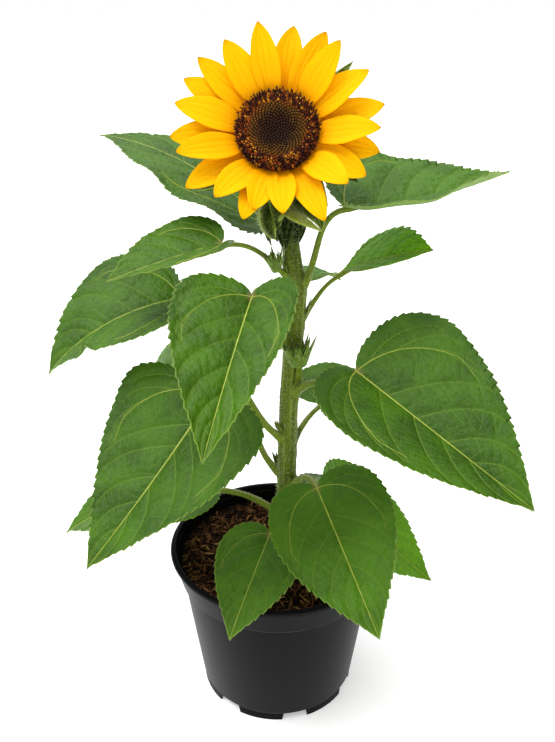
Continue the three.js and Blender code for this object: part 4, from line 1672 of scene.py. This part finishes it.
    def stalk_line(self, stem: Stem) -> tuple[Array, Array]:
        """The stalk's middle line from inside the stem to under the midrib, and its radii.

        Args:
            stem: the stem that it leaves.

        Returns:
            The points and a radius for each.
        """
        start = stem.at(self.foot[0])
        thick = self.stalk_radius[0] + self.stalk_radius[1] * self.length
        point, forward, _, up = (part[0] for part in self.frame(np.zeros(1)))
        end = point - up * (0.25 + thick * 0.55) + forward * 3
        rise = math.radians(self.rise)
        out = around(math.radians(self.foot[1])) * math.cos(rise) + UP * math.sin(rise)
        reach = float(np.linalg.norm(end - start)) * 0.4
        arrive = unit(forward * self.arch + unit(end - start) * (1 - self.arch))
        line = bezier([start, start + out * reach, end - arrive * reach, end], np.linspace(0, 1, 60))
        shares = np.linspace(6, 26, 10) / self.length
        beyond, _, _, ups = self.frame(shares)
        sink = np.linspace(0.2 + thick * 0.4, 0.1, 10)[:, None]
        line = even(np.vstack([line, beyond - ups * sink]), 70)
        gone = np.linspace(0, travelled(line)[-1], len(line))
        share = gone / (gone[-1] - self.blade_end)
        radii = thick * (1 - self.stalk_taper * np.minimum(1, share * 1.4))
        radii *= 1 + self.stalk_flare * np.exp(-((gone - 6) / 8) ** 2)
        radii *= np.clip((gone[-1] - gone) / self.blade_end, 0.12, 1) ** 0.8
        return line, radii

    def stalk(self, stem: Stem) -> Object:
        """The stalk, grooved along its upper side and flared where it clasps the stem.

        Args:
            stem: the stem that it grows from.

        Returns:
            The stalk.
        """
        line, radii = self.stalk_line(stem)
        sides = 16
        angles = np.linspace(0, math.tau, sides, endpoint=False)
        groove = 1 - self.groove * np.clip(np.cos(angles), 0, 1) ** 6 + 0.05 * np.cos(5 * angles)
        ups = np.tile(UP, (len(line), 1)) - 0.6 * around(math.radians(self.foot[1]))
        net = wrapped_net(line, ups, radii[:, None] * groove, sides)
        stalk = shaped_grid(f"leaf_stalk_{self.number:02d}", net)
        top = np.clip(np.cos(np.linspace(0, math.tau, sides + 1)), 0, 1) ** 5 * 0.75
        set_attribute(stalk, "top", np.broadcast_to(top, net.shape[:2]))
        return smooth(stitch(stalk))

    def build(self, stem: Stem, bristles: Bristles) -> None:
        """Makes the stalk and the blade with its veins.

        Args:
            stem: the stem that the stalk grows from.
            bristles: where its bristles are collected.
        """
        self.lay_veins()
        self.lay_cross_veins()
        stalk = self.stalk(stem)
        way = around(math.radians(self.foot[1]))
        aside = np.cross(UP, way)
        root = stem.at(self.foot[0]) + way * 8 + UP * 10
        scales = []
        for side in (-1.0, 0.7):
            line = (root + aside * 1.5 * side, root + way * 3 + UP * 5 + aside * 2.5 * side,
                    root + way * (4 + side) + UP * (12 + 2 * side) + aside * 3 * side)
            scales.append(Strap(line, -way, 6.5))
        stalk = join(stalk.name, [stalk, smooth(thick_straps("axil_scales", scales, 0.4))])
        dress(stalk, "stalk", STALK_SKIN, replaces=[f"stalk_{self.number:02d}"])
        bristles.grow(stalk, int(6 * self.length), 1.2, lean=0.4)
        parts = [self.blade(), *(self.vein_mesh(rank, finish) for rank, finish in (
            (Rank.MAIN, MAIN_VEIN), (Rank.SIDE, SIDE_VEIN), (Rank.CROSS, CROSS_VEIN)))]
        leaf = join(f"leaf_blade_{self.number:02d}", parts)
        dress(leaf, "leaf", replaces=[f"leaf_{self.number:02d}"])


LEAVES = (
    Leaf(1, (139, -115), (-6, -55, 191), (-109, -115), (-16, -38), (5, 0), 91, 75, skew=0.05, tone=0.45),
    Leaf(2, (148, 55), (30, 28, 160), (50, 48), (2, -50), (0, 0), 112, 76, tone=0.1),
    Leaf(3, (166, 185), (-56, 7, 195), (173, 180), (-5, -38), (-4, -10), 149, 125, tone=0.5),
    # Leaf 4's high tone is painted light: its back lobe shines with light coming through it.
    Leaf(4, (182, 10), (40, 0, 205), (-21, -23), (-42, -33), (-4, 12), 125, 101, skew=-0.06,
         shoulder=0.27, tone=1.4),
    Leaf(5, (197, -62), (31, -55, 235), (-72, -64), (-19, -38), (19, 29), 125, 97, skew=0.02,
         shoulder=0.26, tone=0.5),
    Leaf(6, (212, 160), (-46, 36, 297), (146, 140), (2, -58), (-26, -26), 124, 106, tone=0.5, rise=18),
    Leaf(7, (237, 40), (38, 28, 267), (42, 34), (10, -48), (12, 12), 116, 88, fold=8, lobe=0.12,
         shoulder=0.22, tone=0.6),
    Leaf(8, (249, -145), (-47, -76, 327), (-135, -143), (-42, -40), (-13, -9), 146, 129, skew=-0.03,
         lobe=0.05, shoulder=0.14, tone=0.25, rise=30),
    Leaf(9, (290, -45), (57, -61, 339), (-38, -29), (-23, -29), (15, 20), 155, 145, fold=22, skew=0.08,
         shoulder=0.17, tone=0.22, arch=0.0),
    Leaf(10, (326, -118), (-17, -81, 403), (-102, -105), (-20, -37), (4, -13), 130, 91, fold=24,
         skew=-0.13, shoulder=0.14, tone=0.3, quilt=1.3),
    Leaf(11, (340, 175), (-74, -9, 376), (201, 183), (-2, -52), (-12, -20), 120, 114, fold=20, skew=-0.05,
         lobe=0.05, shoulder=0.26, tone=0.3, tear=(0.62, 0.66)),
    # Leaf 12's high tone is painted light: it glows yellow-green with light shining through it.
    Leaf(12, (352, 0), (46, 1, 392), (-19, -20), (30, 10), (8, 20), 76, 60, skew=0.3, lobe=-0.15,
         shoulder=0.42, point=0.55, tone=2.2, quilt=0.4, teeth=(2.4, 0.2), ruffle=0.4),
    Leaf(13, (362, 80), (15, 24, 379), (42, 32), (14, -36), (-4, -4), 50, 46, tone=0.9),
    Leaf(14, (381, -10), (49, -7, 446), (14, 20), (-1, 16), (10, -2), 136, 126, fold=22, skew=0.09,
         tone=0.45, teeth=(1.6, 0.9), point=0.14, ruffle=2.6, lip=5),
    Leaf(15, (386, 195), (-40, -29, 425), (200, 200), (-10, -16), (-5, -11), 86, 74, fold=20, skew=-0.07,
         shoulder=0.24, tone=0.4, rise=42),
    Leaf(16, (408, 115), (-11, 34, 425), (156, 154), (39, 2), (5, -4), 162, 118, fold=8, skew=0.12,
         shoulder=0.27, tone=0.35, teeth=(1.3, 1.0), ruffle=2.4),
)


# ---------- the flower head

@dataclass(frozen=True)
class HeadFrame:
    """The head's own frame: +Z is the way the flower faces and +Y is its top."""

    centre: Triple = (0, -32, 503)
    tilt_up: float = 32.0
    turn: float = 4.0

    def matrix(self) -> Array:
        """The head's place on the plant as a 4 by 4 matrix in millimetres.

        Returns:
            The matrix.
        """
        tilt, turn = math.radians(self.tilt_up), math.radians(self.turn)
        right = np.array([math.cos(turn), -math.sin(turn), 0])
        facing = unit(np.array([-math.sin(turn), -math.cos(turn), math.tan(tilt)]))
        place = np.eye(4)
        place[:3, :3] = np.stack([right, np.cross(facing, right), facing], axis=1)
        place[:3, 3] = self.centre
        return place

    def lift(self, points: Array) -> Array:
        """Points of the head's frame on the plant."""
        place = self.matrix()
        return points @ place[:3, :3].T + place[:3, 3]


HEAD = HeadFrame()


@dataclass
class Whorl:
    """One whorl of ray florets.

    rays holds each ray's direction round the head and its length against the usual one; rise is how
    steeply it leaves the head's plane at its root and its tip, droop how far its tip nods after that,
    and stray how much the rise at the root, the rise at the tip, the twist and the direction differ from
    ray to ray, all in degrees. opening and the powers in tapering shape its half width.
    """

    name: str
    base: float
    rise: Pair
    rays: tuple[Pair, ...]
    seed: int
    root: float = 26.0
    length: float = 46.5
    width: float = 21.8
    droop: float = 10.0
    stray: tuple[float, ...] = (2.5, 7.0, 9.0, 0.8)
    sway: float = 1.3
    opening: Triple = (0.48, 1.7, -1.3)
    tapering: Pair = (2.7, 0.72)
    grooves: tuple[float, ...] = (-0.42, 0.0, 0.4)
    groove_width: float = 0.1
    groove_depth: float = 0.55
    groove_tint: float = 0.34
    rows: int = 30
    columns: int = 18

    def ray(self, direction: float, share: float, lift: float,
            random: np.random.Generator) -> Object:
        """One ray: a pointed, channelled strap that bends up and out from its root.

        Args:
            direction: where it points, round the head.
            share: its length against the usual one.
            lift: how far it lies above its neighbour.
            random: the generator of what differs from ray to ray.

        Returns:
            The ray, as a sheet.
        """
        s = np.linspace(0, 1, self.rows + 1)
        v = np.linspace(1, -1, self.columns + 1)
        root_stray, tip_stray, twist_stray, turn_stray = self.stray
        root = self.rise[0] + random.normal() * root_stray
        gain = self.rise[1] - self.rise[0] + random.normal() * tip_stray
        rise = np.radians(root + gain * s - self.droop * s ** 3)
        step = self.length * share / self.rows
        x = self.root + np.concatenate([[0], np.cumsum(np.cos(rise[:-1]) * step)])
        z = self.base + 0.8 + 0.8 * lift + np.concatenate([[0], np.cumsum(np.sin(rise[:-1]) * step)])
        opening = np.minimum(1, self.opening[0] + self.opening[1] * s + self.opening[2] * s ** 2)
        taper = (1 - s ** self.tapering[0]) ** self.tapering[1]
        half = self.width / 2 * random.uniform(0.94, 1.06) * opening * taper * 1.06
        cup = random.uniform(0.7, 2.2) * (v[None] ** 2 - 0.5) * (half / self.width * 2)[:, None]
        shift = random.normal() * 0.05
        depth = np.sqrt(np.sin(np.clip(s * 1.02, 0.02, 1) * math.pi).clip(0.02))[:, None]
        folds = sum(np.exp(-((v - g - shift) / self.groove_width) ** 2) for g in self.grooves)[None] * depth
        wave = np.sin(s * 9 + random.uniform(0, 6))[:, None]
        high = cup - self.groove_depth * folds + 0.25 * wave * np.abs(v[None]) ** 2
        twist = math.radians(random.normal() * twist_stray) * s[:, None]
        sway = random.normal() * self.sway * s[:, None] ** 2
        across = v[None] * half[:, None]
        y = across * np.cos(twist) - high * np.sin(twist) + sway
        up = across * np.sin(twist) + high * np.cos(twist)
        back, lifted = np.sin(rise)[:, None], np.cos(rise)[:, None]
        local = np.stack([x[:, None] - up * back, y, z[:, None] + up * lifted], axis=2)
        turn = math.radians(direction + random.normal() * turn_stray)
        spin = np.stack([around(turn), np.cross(UP, around(turn)), UP])
        ray = shaped_grid("ray", HEAD.lift(local @ spin))
        set_attribute(ray, "groove", self.groove_tint * folds * np.ones_like(high))
        return ray

    def build(self) -> None:
        """Makes every ray and joins the whorl."""
        random = np.random.default_rng(self.seed)
        rays = [self.ray(direction, share, i % 2, random)
                for i, (direction, share) in enumerate(self.rays)]
        whorl = stitch(join(self.name, rays), recalculate=False)
        apply_modifier(whorl, "SOLIDIFY", thickness=0.4 * MM, offset=0)
        dress(smooth(whorl), "ray", RAY_SKIN, replaces=[self.name.replace("_florets", "")])


@dataclass
class Disc:
    """The disc: florets set in crossing spirals, closed in the middle and open round the edge.

    Places are shares of the radius: florets are open from open_from on and have two anther tubes from
    doubled_from on. dusted is the share of open ones that hold pollen, and leaning says from where on
    they lean out, and how much.
    """

    radius: float = 28.2
    florets: int = 640
    open_from: float = 0.7
    doubled_from: float = 0.86
    dusted: float = 0.26
    leaning: tuple[Pair, ...] = ((0.75, 2.0), (0.87, 5.0))
    seed: int = 21
    profile: tuple[Pair, ...] = ((0, 1.4), (0.3, 2.2), (0.62, 4.4), (0.9, 3.9), (1.0, 1.6))

    def dome(self, share: Array) -> Array:
        """The bed's height at a share of the radius."""
        places, heights = zip(*self.profile)
        return np.interp(share, places, heights)

    def bed(self) -> None:
        """The flesh that the florets stand on."""
        shares = np.linspace(1, 0, 30)
        rim = [(0, -1.0), (self.radius - 3, -1.0), (self.radius - 0.5, 0.4)]
        net = turned_net([*rim, *((self.radius * s, float(self.dome(s))) for s in shares)], 72)
        bed = smooth(stitch(shaped_grid("flower_disc_bed", HEAD.lift(net))))
        dress(bed, "disc", DISC_FLESH, replaces=["flower_disc"])

    @staticmethod
    def closed_floret() -> Unit:
        """A closed floret: a blunt bud with a dimpled top."""
        net = turned_net([(0, -1.2), (0.85, -1.0), (0.98, 0.3), (0.78, 1.1), (0.4, 1.5), (0, 1.25)], 8)
        return Unit(stitch(shaped_grid("closed_floret", net)))

    @staticmethod
    def corolla() -> Unit:
        """An open floret's tube, ending in a five-pointed star.

        Returns:
            The tube as a shape to copy.
        """
        net = turned_net([(0, -1.5), (0.65, -1.4), (0.7, 0.6), (1.3, 1.7), (0, 1.0)], 10)
        net[3, 1::2, :2] *= 0.55
        net[3, 1::2, 2] -= 0.35
        return Unit(stitch(shaped_grid("corolla", net)))

    @staticmethod
    def anther() -> Unit:
        """The dark tube of anthers that stands out of an open floret, pointed at its tip."""
        net = turned_net([(0, 0), (0.45, 0.1), (0.52, 1.8), (0.36, 2.7), (0, 3.4)], 5)
        return Unit(stitch(shaped_grid("anther", net)))

    @staticmethod
    def grain() -> Unit:
        """A crumb of pollen.

        Returns:
            The crumb as a shape to copy.
        """
        deselect()
        bpy.ops.mesh.primitive_ico_sphere_add(subdivisions=1, radius=0.34 * MM)
        return Unit(newest("pollen"))

    def build(self) -> None:
        """Sets every floret and joins them by kind."""
        self.bed()
        random = np.random.default_rng(self.seed)
        number = np.arange(self.florets)
        share = 0.965 * np.sqrt((number + 0.5) / self.florets)
        angle = number * math.pi * (3 - math.sqrt(5))
        out = np.stack([np.cos(angle), np.sin(angle), 0 * angle], axis=1)
        points = out * share[:, None] * self.radius
        points[:, 2] = self.dome(share)
        steps = np.linspace(0, 1, 101)
        slope = np.gradient(self.dome(steps), self.radius / 100)
        lean = -np.interp(share, steps, slope) * 0.6
        for start, gain in self.leaning:
            lean += gain * np.clip(share - start, 0, 1)
        axes = out * lean[:, None] + [0, 0, 1] + random.normal(size=(self.florets, 3)) * 0.05
        place = HEAD.matrix()

        def put(name: str, kind: Unit, chosen: Array, size: Array, tint: Array,
                rise: float = 0.0, wander: float = 0.0) -> Object:
            """Copies a kind of floret to chosen places on the plant.

            Args:
                name: the joined object's name.
                kind: the shape.
                chosen: the numbers of the florets it goes to.
                size: a scale for each.
                tint: a tint for each.
                rise: how far above the bed it stands.
                wander: how far its direction strays.

            Returns:
                The joined object.
            """
            where = points[chosen] + unit(axes[chosen]) * rise
            ways = axes[chosen] + random.normal(size=(len(where), 3)) * wander
            places = place[None] @ standing(where, ways, size, angle[chosen])
            return kind.scatter(name, places, np.clip(tint, 0, 1))

        closed = np.flatnonzero(share < self.open_from)
        spread = random.normal(size=len(closed)) * 0.07
        outwards = share[closed] / self.open_from
        size = 0.86 + 0.16 * outwards
        dress(put("flower_disc_closed", self.closed_floret(), closed, size, outwards + spread),
              "disc", CLOSED_FLORET)
        opened = np.flatnonzero(share >= self.open_from)
        count = len(opened)
        dress(put("flower_disc_open", self.corolla(), opened, random.uniform(0.85, 1.15, count),
                  random.uniform(0, 1, count), wander=0.12), "disc", OPEN_FLORET)
        proud = np.concatenate([opened, opened[share[opened] > self.doubled_from]])
        dress(put("flower_disc_anthers", self.anther(), proud, random.uniform(0.6, 1.0, len(proud)),
                  random.uniform(0, 1, len(proud)), rise=0.7, wander=0.3), "disc", ANTHER)
        dusted = opened[random.random(count) < self.dusted]
        dress(put("flower_disc_pollen", self.grain(), dusted, random.uniform(0.7, 1.3, len(dusted)),
                  random.uniform(0, 1, len(dusted)), rise=2.6, wander=0.5), "disc", POLLEN)


@dataclass(frozen=True)
class BractRow:
    """One row of bracts round the cup: their count, the first one's direction, and their size.

    top and foot are how far the bracts above and below the flower fold back, in degrees.
    """

    count: int
    start: float
    length: float
    width: float
    top: float
    foot: float


@dataclass
class Involucre:
    """The green cup behind the flower with its rows of pointed, downy bracts."""

    radius: float = 33.0
    depth: float = 26.0
    neck: float = 9.0
    seat: float = -5.7
    rows: tuple[BractRow, ...] = (BractRow(12, 8, 38, 17, 4, 36), BractRow(9, 20, 25, 15, -14, 14),
                                  BractRow(10, 3, 22, 14, 30, 70))
    skirt_middle: Triple = (5, -10, 0)
    skirt_widths: Pair = (13, 16)
    skirt_ends: Pair = (417, 423)
    seed: int = 33

    def cup(self) -> Object:
        """The cup, from its neck to the seat of the rays.

        Returns:
            The closed cup.
        """
        net = turned_net([
            (0, -self.depth), (self.neck, -self.depth), (self.radius * 0.45, -self.depth * 0.86),
            (self.radius * 0.68, -self.depth * 0.72), (self.radius * 0.86, -self.depth * 0.52),
            (self.radius * 0.96, -self.depth * 0.36), (self.radius, self.seat - 2),
            (self.radius * 0.9, self.seat), (0, -1.5)], 48)
        return stitch(shaped_grid("cup", HEAD.lift(net)))

    def bract(self, direction: float, length: float, width: float, reflex: float,
              random: np.random.Generator) -> Strap:
        """One bract that leaves the cup and folds back, with a wandering tip.

        Args:
            direction: where it points, round the head.
            length: its length.
            width: its width.
            reflex: how far it folds back, in degrees.
            random: the generator of its tip's place and its cup.

        Returns:
            The bract.
        """
        out = around(math.radians(direction))
        aside = np.cross(UP, out)
        foot = out * 26 - UP * 9
        bend, tip = np.radians([-0.35 * reflex, -1.3 * reflex]) + random.normal(size=2) * 0.14
        middle = foot + (out * math.cos(bend) + UP * math.sin(bend)) * length * 0.55
        end = middle + (out * math.cos(tip) + UP * math.sin(tip)) * length * 0.5
        end = end + aside * random.normal() * 2.5
        line = HEAD.lift(np.array([foot, middle, end]))
        facing = HEAD.matrix()[:3, 2] + HEAD.matrix()[:3, :3] @ out * math.sin(-bend)
        return Strap(tuple(line), facing, width, cup=random.uniform(0.05, 0.3))

    def skirt(self, random: np.random.Generator) -> list[Strap]:
        """The short bracts that hang round the cup's foot, near black with painted shade.

        Args:
            random: the generator of their places and sizes.

        Returns:
            The bracts.
        """
        made = []
        for turn in np.radians(np.arange(-172, 188, 24) + random.normal(size=15) * 5):
            out = around(turn)
            wide, low = random.uniform(*self.skirt_widths), random.uniform(*self.skirt_ends)
            bends = ((5, 451), (wide, 448), (wide, 432), (wide - random.uniform(3, 6), low))
            line = tuple(np.array(self.skirt_middle) + out * reach + UP * height for reach, height in bends)
            made.append(Strap(line, out, random.uniform(12, 15), cup=0.3))
        return made

    def build(self, bristles: Bristles) -> None:
        """Makes the cup and its bracts.

        Args:
            bristles: where its bristles are collected.
        """
        random = np.random.default_rng(self.seed)
        skirt = coat(thick_straps("skirt", self.skirt(random)), SKIRT_SKIN)
        bracts: list[Strap] = []
        for row in self.rows:
            for i in range(row.count):
                direction = row.start + 360 * i / row.count + random.normal() * 3
                lowness = (1 - math.sin(math.radians(direction))) / 2
                reflex = row.top + (row.foot - row.top) * lowness
                length = row.length * random.uniform(0.88, 1.05)
                bracts.append(self.bract(direction, length, row.width, reflex, random))
        hanging = coat(thick_straps("hanging_bracts", HANGING_BRACTS), BRACT_SKIN)
        # The bracts under the head get their bright yellow-green as painted light.
        young = coat(thick_straps("painted_light_bracts", PAINTED_LIGHT_BRACTS), PAINTED_LIGHT_BRACT_SKIN)
        rows = coat(thick_straps("bract_rows", bracts), ROW_SKIN)
        for skin, count in ((hanging, 3000), (young, 1500), (rows, 8000), (skirt, 3000)):
            bristles.grow(skin, count, 1.5, lean=0.6)
        cup = coat(self.cup(), CUP_SKIN)
        involucre = smooth(join("flower_involucre", [hanging, young, rows, skirt, cup]))
        dress(involucre, "bract", replaces=["involucre"])


# ---------- side buds

@dataclass
class SideBud:
    """A closed bud on a short stalk, wrapped in narrow bracts.

    bracts is how many bracts each layer has, and layers holds, from the outer one in, their length
    against the usual one and how far they spread.
    """

    number: int
    foot: Pair
    crown: Triple
    radius: float
    bracts: int
    bract_length: float
    bract_width: float
    layers: tuple[Pair, ...] = ((1, 0.4), (0.8, 0.18), (0.62, 0.02))

    def build(self, stem: Stem, bristles: Bristles) -> None:
        """Makes the bud on its stalk.

        Args:
            stem: the stem that it grows from.
            bristles: where its bristles are collected.
        """
        random = np.random.default_rng(50 + self.number)
        start, end = stem.at(self.foot[0]), np.array(self.crown, float)
        rise = unit(around(math.radians(self.foot[1])) + UP)
        middle = start + rise * np.linalg.norm(end - start) * 0.5
        line = bezier([start, middle, end], np.linspace(0, 1, 24))
        lean = unit(unit(end - middle) + UP * 2.6)
        place = standing(end[None], lean[None], np.ones(1), np.zeros(1))[0]
        r = self.radius
        stalk_net = wrapped_net(line, np.tile([1.0, 0, 0], (24, 1)), np.full(24, r * 0.32), 12)
        parts = [stitch(shaped_grid("bud_stalk", stalk_net))]
        globe = turned_net([(0, -r * 0.9), (r * 0.5, -r * 0.8), (r * 0.85, -r * 0.45), (r, 0),
                            (r * 0.85, r * 0.5), (r * 0.5, r * 0.85), (0, r)], 20)
        parts.append(stitch(shaped_grid("bud_globe", globe @ place[:3, :3].T + place[:3, 3])))
        narrow = []
        turned, foot = place[:3, :3], place[:3, 3]
        count = self.bracts * len(self.layers)
        for i in range(count):
            share, spread = self.layers[i % len(self.layers)]
            out = around(math.tau * i / count + random.normal() * 0.1)
            length = self.bract_length * share * random.uniform(0.85, 1.12)
            spread += random.normal() * 0.08
            low = out * r * 0.8 - [0, 0, r * 0.6]
            middle = out * r * 1.25 + [0, 0, length * 0.3]
            tip = out * (r * 0.7 + spread * length) + [0, 0, length * 0.82]
            line = tuple(turned @ point + foot for point in (low, middle, tip))
            narrow.append(Strap(line, turned @ -out, self.bract_width * random.uniform(0.8, 1.1), cup=0.25))
        leaflets = coat(thick_straps("bud_bracts", narrow, 0.5), BUD_BRACT_SKIN)
        bristles.grow(leaflets, int(220 * r), 1.4, lean=0.7)
        parts = [coat(part, skin) for part, skin in zip(parts, (STALK_SKIN, BUD_SKIN))]
        bud = smooth(join(f"side_bud_leaflets_{self.number:02d}", [*parts, leaflets]))
        dress(bud, "bud", replaces=[f"side_bud_{self.number:02d}"])


# ---------- the studio

@dataclass
class Studio:
    """A pale floor, soft light from a bright sky and a broad high lamp, and the camera."""

    camera_at: Triple = (0.0, -0.590, 0.586)
    camera_down: float = 25.0
    lens: float = 39.15
    key: float = 1.6
    fill: float = 0.64

    def floor(self) -> None:
        """A wide sheet of white paper."""
        deselect()
        bpy.ops.mesh.primitive_plane_add(size=40)
        coat(newest("floor"), PAPER)

    def light(self) -> None:
        """A sky that is bright above and behind over a pale wall, a key lamp and a broad fill."""
        world = bpy.data.worlds.new("studio")
        world.use_nodes = True
        tree = world.node_tree
        tree.nodes.clear()
        way = add(tree, "TexCoord", out="Generated")
        toward = add(tree, "VectorMath", {0: way, 1: (-0.2, 0.2, 0.96)}, operation="DOT_PRODUCT")
        glow = add(tree, "MapRange", {"Value": toward, "From Min": 0.45, "From Max": 0.95, "To Min": 0.12,
                                      "To Max": 2.4})
        level = add(tree, "SeparateXYZ", {0: way}, out=2)
        wall = add(tree, "MapRange", {"Value": level, "From Min": 0.0, "From Max": 0.4, "To Min": 1.0,
                                      "To Max": 0.1})
        both = add(tree, "Math", {0: glow, 1: wall}, operation="MAXIMUM")
        sky = add(tree, "Background", {"Color": "#ffffff", "Strength": both})
        add(tree, "OutputWorld", {"Surface": sky})
        bpy.context.scene.world = world
        for name, energy, soft, turn in (("key", self.key, 26, (12, -24)), ("fill", self.fill, 60, (52, 16))):
            lamp = bpy.data.lights.new(name, "SUN")
            lamp.energy = energy
            lamp.angle = math.radians(soft)
            holder = bpy.data.objects.new(name, lamp)
            holder.rotation_euler = (math.radians(turn[0]), math.radians(turn[1]), 0)
            bpy.context.scene.collection.objects.link(holder)

    def camera(self) -> None:
        """The camera, a little above the flower and looking down on the plant."""
        camera = bpy.data.cameras.new("camera")
        camera.lens = self.lens
        holder = bpy.data.objects.new("camera", camera)
        holder.location = self.camera_at
        holder.rotation_euler = (math.radians(90 - self.camera_down), 0, 0)
        bpy.context.scene.collection.objects.link(holder)
        bpy.context.scene.camera = holder

    def build(self) -> None:
        """Sets up the camera, the floor and the light."""
        self.camera()
        self.floor()
        self.light()
        bpy.context.scene.view_settings.view_transform = "Standard"


FRONT_WHORL = Whorl("rays_front_florets", -3.4, (34, 16), (
    (33, 1.04), (52, 1.02), (100, 1.05), (122, 0.98), (169, 1.02), (199, 1.0), (235, 0.9), (258, 0.8),
    (278, 0.88), (318, 0.95), (358, 0.97)), seed=3)
BACK_WHORL = Whorl("rays_back_florets", -5.4, (23, 9), (
    (15, 1.04), (66, 1.05), (85, 1.05), (138, 1.05), (152, 1.04), (185, 1.02), (214, 1.03), (255, 0.95),
    (299, 1.08), (334, 0.9), (349, 0.96)), seed=4)
HANGING_BRACTS = (
    Strap(((0, -28, 457), (-9, -45, 459), (-14, -50, 444), (-1, -41, 431)), (0.5, -0.8, 0.3), 19,
          cup=0.75, root=0.9, widest=0.5),
    Strap(((8, -20, 458), (20, -34, 456), (30, -38, 448), (31, -36, 436)), (0.4, -0.85, 0.2), 20, cup=0.3),
    Strap(((18, -24, 512), (35, -15, 529), (51, -12, 546)), (0, -0.85, 0.53), 14),
    Strap(((-20, -30, 484), (-36, -28, 470), (-57, -28, 462)), (0, -0.85, 0.53), 13),
)
# Two bracts under the head, coloured with painted light.
PAINTED_LIGHT_BRACTS = (
    Strap(((-4, -30, 454), (8, -45, 452), (21, -50, 446), (31, -46, 438)), (0.3, -0.4, 0.87), 11, cup=-0.15,
          widest=0.45),
    Strap(((-2, -30, 450), (-8, -36, 453), (-15, -38, 454), (-22, -36, 453)), (0, -0.45, 0.9), 7, cup=-0.1),
)
BUDS = (
    SideBud(1, (298, -35), (16, -18, 330), 8, 10, 24, 4.0),
    SideBud(2, (388, -140), (-1, -14, 402), 4, 6, 20, 3.4),
)


def main() -> None:
    """Builds the studio and the plant."""
    logging.basicConfig(level=logging.INFO, format="%(name)s: %(message)s")
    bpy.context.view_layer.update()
    Studio().build()
    involucre = Involucre()
    end = HEAD.lift(np.array([0.0, 0.0, STEM_IN_CUP - involucre.depth]))
    stem = Stem(end=tuple(end))
    bristles = Bristles(seed=11)
    Pot().build()
    Compost().build()
    stem.build(LEAVES, bristles)
    for leaf in LEAVES:
        leaf.build(stem, bristles)
    for bud in BUDS:
        bud.build(stem, bristles)
    involucre.build(bristles)
    for whorl in (BACK_WHORL, FRONT_WHORL):
        whorl.build()
    Disc().build()
    dress(bristles.build(), "stem", BRISTLE)


if __name__ == "__main__":
    main()
